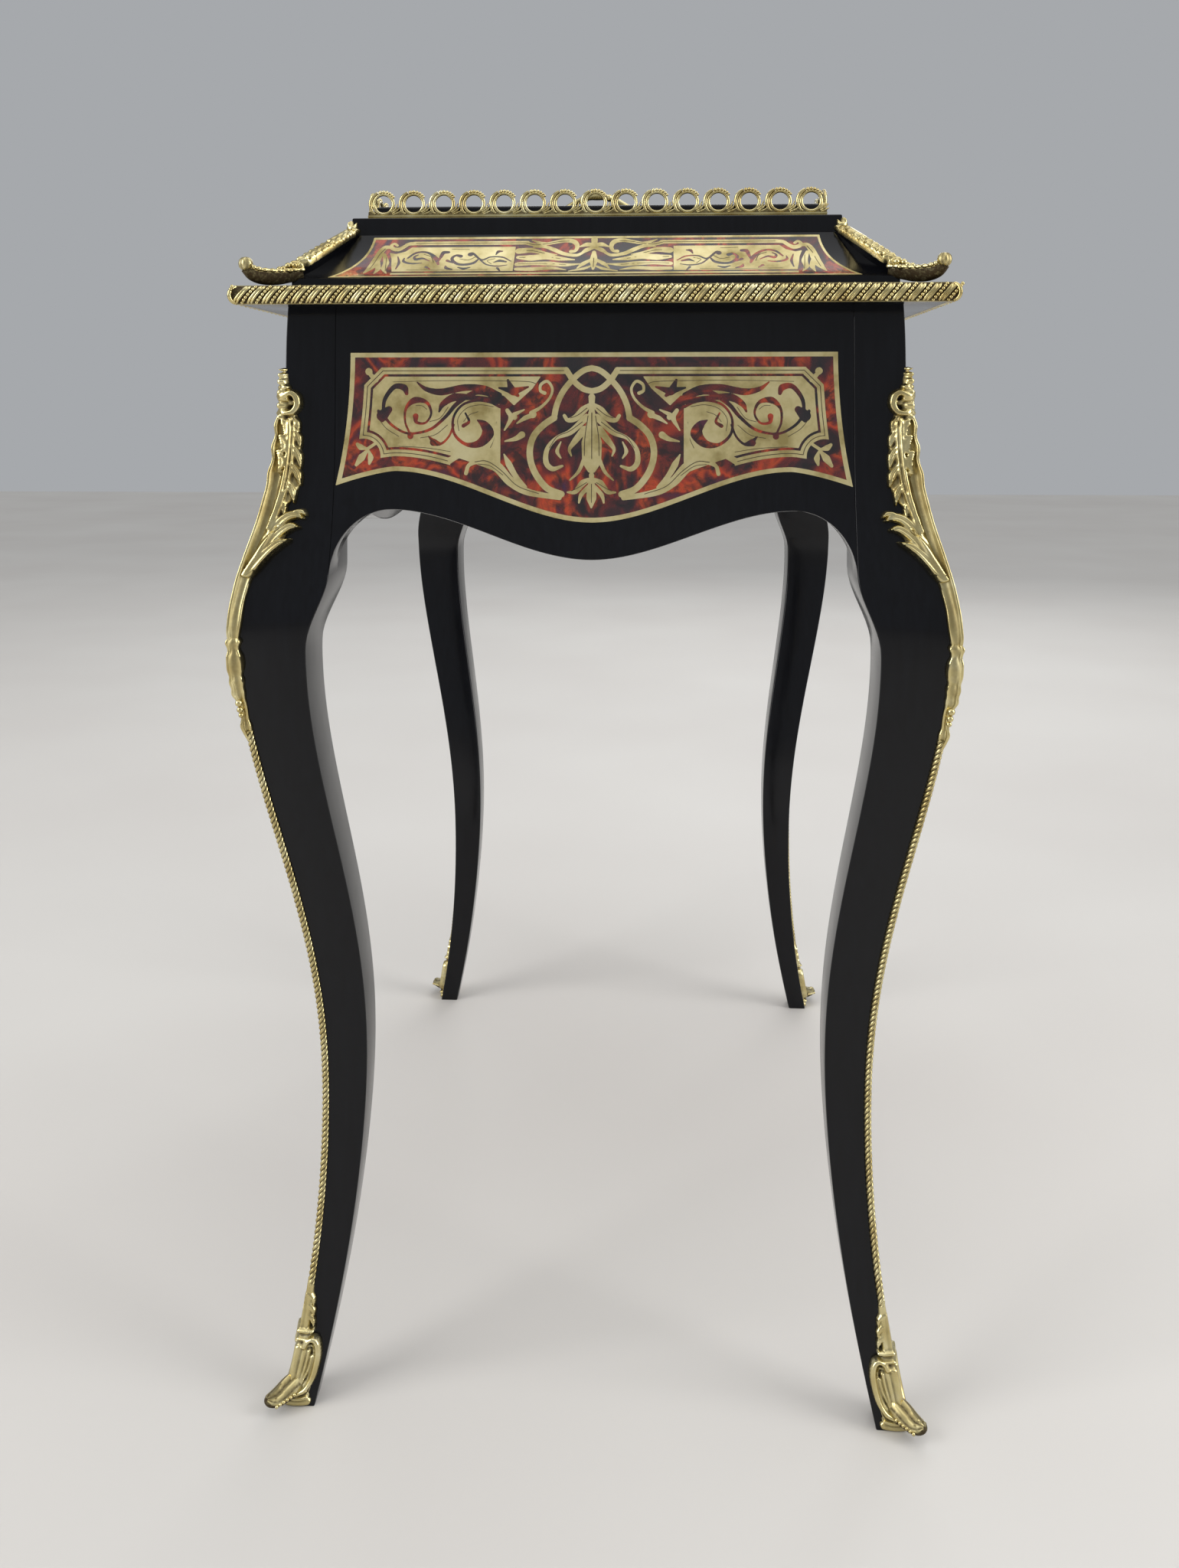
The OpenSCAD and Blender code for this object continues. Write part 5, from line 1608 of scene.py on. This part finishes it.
def edge_mouldings(row):
    bead_r = (SLAB_TOP - LEG_H) / 2 - 2
    centre_out = MOULD_HALF - bead_r
    middle = (LEG_H + SLAB_TOP) / 2
    base = Solid()
    bow = [(centre_out + 2.4 * math.cos(t), middle + 5.6 * math.sin(t))
           for t in np.linspace(-math.pi / 2, math.pi / 2, 13)]
    ring = np.array([(SLAB_HALF, LEG_H), (centre_out, LEG_H)] + bow
                    + [(centre_out, SLAB_TOP), (SLAB_HALF, SLAB_TOP)])
    # Painted shade: the bow behind the chased bars and beads is marked fully dark, the flat faces a
    # little
    shade_and_dirt = np.where(ring[:, 0] > centre_out + 0.1, 1.0, 0.2)
    for k in range(4):
        base.add(*loft(length_ends(ring, k)), np.concatenate([shade_and_dirt, shade_and_dirt]))
        clasp = [(centre_out + 3.4 * math.cos(t), centre_out + 3.4 * math.cos(t),
                  middle + 5 * math.sin(t)) for t in np.linspace(-1.5, 1.5, 9)]
        base.add(*loft([to_corner(r, k) for r in tube(clasp, 1.3, 8)]))
    base.make("edge_mouldings", BRONZE, slot="gilt_bronze",
              replaces=named("edge_moulding", SIDES), crease=50)
    unit = Solid()

    def wrap(u, t):
        return (u + 4.6 * math.sin(t), -3 * math.cos(t), 5.2 * math.sin(t))
    for u in (-1.1, 1.1):
        bar = [wrap(u, t) for t in np.linspace(-1.5, 1.5, 9)]
        unit.add(*loft(tube(bar, [0.6] + [0.95] * 7 + [0.6], 6)))
    for t in (-1.25, -0.72, -0.35, 0, 0.35, 0.72, 1.25):
        bead(unit, wrap(4.7, t), 1.25, 7)
    casting = placed("edge_unit", unit.mesh("edge_unit"))
    lines = []
    for k in range(4):
        end = MOULD_HALF + spare(k) - 8
        lines.append(to_side([(-end, -centre_out, middle), (end, -centre_out, middle)], k))
    values = {"Unit": casting, "Spacing": CHASING_PITCH * MM, "Material": BRONZE}
    grown("edge_moulding_chasing", lines, row, values)
    bpy.data.objects.remove(casting)


# The gallery's double rings: their spacing, and the outer ring's radius and bore
RING_PITCH = 20.9
RING_R = 8.9
RING_BORE = 5.65


def gallery_unit():
    unit = Solid()
    middle, half = (RING_BORE + RING_R - 1) / 2, (RING_R - 1 - RING_BORE) / 2
    rings = []
    for t in full_turn(28):
        rings.append([((middle + half * math.cos(a)) * math.cos(t), -math.sin(a),
                       (middle + half * math.cos(a)) * math.sin(t)) for a in np.arange(8) * math.pi / 4])
    unit.add(*loft(rings, closed=True))
    arc = [(-0.3 + 8.9 * math.cos(t), -0.2, 8.6 * math.sin(t)) for t in np.linspace(3.95, 2.0, 14)]
    sizes = np.interp(np.linspace(0, 1, 14), [0, 0.2, 0.7, 1], [0.5, 1.1, 1.4, 1.0])
    unit.add(*loft(tube(arc, sizes, 8)))
    for i, t in enumerate((1.85, 1.58, 1.31, 1.06, 0.83, 0.62)):
        bead(unit, (8.6 * math.cos(t), -0.2, 8.4 * math.sin(t)), 1.3 - 0.08 * i, 8)
    for points, width in [([(5.4, -5.6), (8.2, -3.4), (9.8, 0.2)], 0.8),
                          ([(6, -6.4), (9, -4.6), (11.4, -2)], 0.8),
                          ([(6.4, -7.2), (9.4, -6.2), (12, -4.8)], 0.75),
                          ([(-5.6, -6.6), (-8.4, -5.2), (-9, -2.8)], 0.7)]:
        leaf = [(x, -0.2, z) for x, z in spline(points, 3)]
        shape = spread([width, width, 0.35], np.linspace(0, 1, len(leaf)))
        unit.add(*loft(tube(leaf, shape, 6)))
    # Painted shade: the bar along the rings' feet, between the rings, is marked dark
    unit.add(*loft([[(x, y, z) for y, z in ((-0.5, -8.6), (0.5, -8.6), (0.5, -5.4), (-0.5, -5.4))]
                    for x in (-10.45, 10.45)]), 0.8)
    return unit


def galleries(row):
    strip = Solid()
    inner_face = GALLERY_HALF - 2.2
    mitred(strip, [(inner_face, CAP_TOP), (GALLERY_HALF + 0.3, CAP_TOP),
                   (GALLERY_HALF + 0.3, CAP_TOP + 1.2),
                   (GALLERY_HALF - 0.1, CAP_TOP + 1.5), (GALLERY_HALF + 0.2, CAP_TOP + 1.9),
                   (GALLERY_HALF + 0.1, CAP_TOP + 3), (inner_face, CAP_TOP + 3)])
    strip.make("gallery_strips", BRONZE, slot="gilt_bronze",
               replaces=named("gallery", SIDES))
    casting = placed("gallery_unit", gallery_unit().mesh("gallery_unit"))
    middle = CAP_TOP + 3 + RING_R - 1.2
    for name, sides in (("gallery_rings_short", (0, 2)), ("gallery_rings_long", (1, 3))):
        end = GALLERY_HALF + spare(sides[0]) - (2 if sides[0] else 0)
        count = round(2 * end / RING_PITCH)
        step = 2 * end / count
        far, out = end - step / 2, GALLERY_HALF - 1
        lines = [to_side([(-far, -out, middle), (far, -out, middle)], k) for k in sides]
        values = {"Unit": casting, "Spacing": step * 0.999 * MM, "Material": BRONZE}
        grown(name, lines, row, values)
    bpy.data.objects.remove(casting)


# Lid and liner
# The handle's studs are so far apart, and its bow stands so high over the lid
HANDLE_SPAN = 42
HANDLE_H = 13
# Radius of the tray's rolled rim
RIM_R = 1.5


def lid():
    wood, string = Solid(), Solid()
    rings = []
    for inset, z in ((1.2, CAP_TOP), (0, CAP_TOP + 1), (0, LID_TOP - 1.6), (0.5, LID_TOP - 0.6),
                     (1.6, LID_TOP)):
        w, d = LID_HALF - inset, LID_HALF + EXTRA - inset
        outline = oblong(w, d, 2.4)
        rings.append(np.column_stack([outline, np.full(len(outline), z)]))
    wood.add(*loft(rings))
    wood.make("lid_board", EBONY, "lid", "ebonised_wood", ["lid_panel"])
    for inset, width in ((16, 1.6), (20.4, 0.8)):
        out = LID_HALF - inset
        mitred(string, [(out - width, LID_TOP - 0.4), (out, LID_TOP - 0.4), (out, LID_TOP + 0.12),
                        (out - width, LID_TOP + 0.12)])
    string.make("lid_stringing", BRASS, "lid", "boulle_marquetry")


def lid_handles():
    for end, side in ((-1, "front"), (1, "back")):
        handle = Solid()
        y = end * (high("lid_handle_back", Y) - 7)
        chord = HANDLE_SPAN / 2
        foot_z = LID_TOP + 1.4
        rise = HANDLE_H - 2.8 - 1.4
        radius = (chord ** 2 + rise ** 2) / (2 * rise)
        swing = math.asin(chord / radius)
        turns = np.linspace(-swing, swing, 49)
        path = [(radius * math.sin(t), y, foot_z + rise - radius * (1 - math.cos(t))) for t in turns]
        share = np.abs(turns / swing)
        sizes = (2.0 + 0.8 * np.exp(-(share / 0.22) ** 2) + 0.9 * np.exp(-((share - 0.36) / 0.035) ** 2)
                 + 0.5 * np.exp(-((share - 0.45) / 0.03) ** 2) + 1.2 * share ** 8)
        handle.add(*loft(tube(path, sizes, 16, (0, 0, 1))))
        for x in (-chord, chord):
            low_z = CAP_TOP - 4.2
            foot = turned([(r, LID_TOP + h) for r, h in
                           ((6.6, 0), (7, 0.5), (6.8, 1), (5.6, 1.4), (5, 2.4), (3.6, 2.8),
                            (3, 3.4), (0.4, 3.8))])
            stud = turned([(1.6, low_z), (2, low_z + 0.4), (2, LID_TOP + 1)], 16)
            for points, faces in (foot, stud):
                handle.add(points + (x, y, 0), faces)
        handle.make("lid_bow_handle_" + side, BRONZE, "lid", "gilt_bronze", ["lid_handle_" + side])


def liner():
    solid = Solid()
    floor_z, top = low("zinc_liner", Z), high("zinc_liner", Z)
    half = high("zinc_liner", X) - 3
    wall = [(0, floor_z + 0.8), (0.3, floor_z + 3), (0.3, top - 3.4)]
    curl = [(RIM_R + RIM_R * math.sin(t), top - RIM_R + RIM_R * math.cos(t))
            for t in np.linspace(3.7, -0.6, 12)]
    section = wall + curl + [(-0.9, top - 1.6), (-0.9, floor_z + 0.8)]
    w, d = half, half + EXTRA
    plan = oblong(w, d, 9, 7)
    n = len(plan)
    rings = []
    for i, p in enumerate(plan):
        along = plan[(i + 1) % n] - plan[i - 1]
        along /= np.linalg.norm(along)
        outwards = np.array([along[1], -along[0]])
        rings.append([(*(p + outwards * out), z) for out, z in section])
    solid.add(*loft(rings, closed=True))
    base = plan * (1 - 0.4 / d)
    solid.add(*loft([np.column_stack([base, np.full(n, z)]) for z in (floor_z, floor_z + 1)]))
    solid.make("zinc_tray", ZINC, "liner", "zinc_sheet", ["zinc_liner"])


# Studio: the photo's camera, fitted to it in its pixels and in metres and degrees
FOCAL_PX = 1700
FRAME_H_PX = 2048
HORIZON_PX = 535
CAMERA_AT = (0.0471, -1.1457, 0.6539)
CAMERA_TURN = 3.14
SENSOR = 36
SHIFT_X = -0.0024
FLOOR_HALF = 9


def camera():
    data = bpy.data.cameras.new("camera")
    data.sensor_width = SENSOR
    data.lens = SENSOR * FOCAL_PX / FRAME_H_PX
    data.shift_y = (HORIZON_PX - FRAME_H_PX / 2) / FRAME_H_PX
    data.shift_x = SHIFT_X
    made = placed("camera", data)
    made.location = CAMERA_AT
    made.rotation_euler = (math.radians(90), 0, math.radians(CAMERA_TURN))
    bpy.context.scene.camera = made


def lamp(name, place, target, size, power):
    """A soft box of the size given, or without one a broad soft sun."""
    data = bpy.data.lights.new(name, "AREA" if size else "SUN")
    data.energy = power
    if size:
        data.shape = "RECTANGLE"
        data.size, data.size_y = size
    else:
        data.angle = 1.4
    made = placed(name, data)
    made.location = place
    made.rotation_euler = (Vector(target) - Vector(place)).to_track_quat("-Z", "Y").to_euler()


def studio():
    mesh = bpy.data.meshes.new("studio_floor")
    corners = [(x * FLOOR_HALF, y * FLOOR_HALF, 0) for x, y in ((-1, -1), (1, -1), (1, 1), (-1, 1))]
    mesh.from_pydata(corners, [], [(0, 1, 2, 3)])
    mesh.materials.append(floor_paint())
    floor = placed("studio_floor", mesh)
    lamp("soft_sun", (0.8, -0.6, 3.0), (0, 0, 0), None, 0.7)
    lamp("soft_overhead", (0.2, -0.3, 3.0), (0, 0, 0.6), (3.4, 2.4), 16)
    lamp("soft_left", (-2.6, -1.6, 1.7), (0, 0, 0.6), (1.6, 2.2), 64)
    lamp("soft_right", (2.8, -1.0, 1.5), (0, 0, 0.6), (1.4, 2.2), 54)
    lamp("soft_back", (0.6, 3.0, 2.2), (0, 0, 0.6), (2.4, 1.6), 30)
    world = bpy.data.worlds.new("studio")
    bpy.context.scene.world = world
    world.use_nodes = True
    tree = world.node_tree
    tree.nodes.clear()
    sky = add(tree, "ShaderNodeBackground", {"Color": linear("#c3c6ca"), "Strength": 0.7})
    add(tree, "ShaderNodeOutputWorld", {"Surface": sky})
    bpy.context.scene.view_settings.view_transform = "Standard"


# Making
camera()
studio()
legs()
frieze_rails()
upper_boards()
marquetry("frieze", frieze_drawing, on_frieze, 5.0, 6.0, VEINS,
          [vein for vein in VEINS if vein[0][0][0] > SCROLLS_FROM])
marquetry("cavetto", cavetto_drawing, on_cavetto, 4.0, 4.0, on_cove(COVE_VEINS))
knee_mounts()
sabots()
hip_beds()
corner_mounts()
arris_trims()
castings = row_tree()
edge_mouldings(castings)
galleries(castings)
lid()
lid_handles()
liner()

for name, look in [("bottom_board", PINE), ("carcass_blocks", PINE), ("lid_cleats", EBONY),
                   ("handle_nuts", BRONZE)]:
    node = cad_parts[name]
    node.data.materials.clear()
    node.data.materials.append(look)
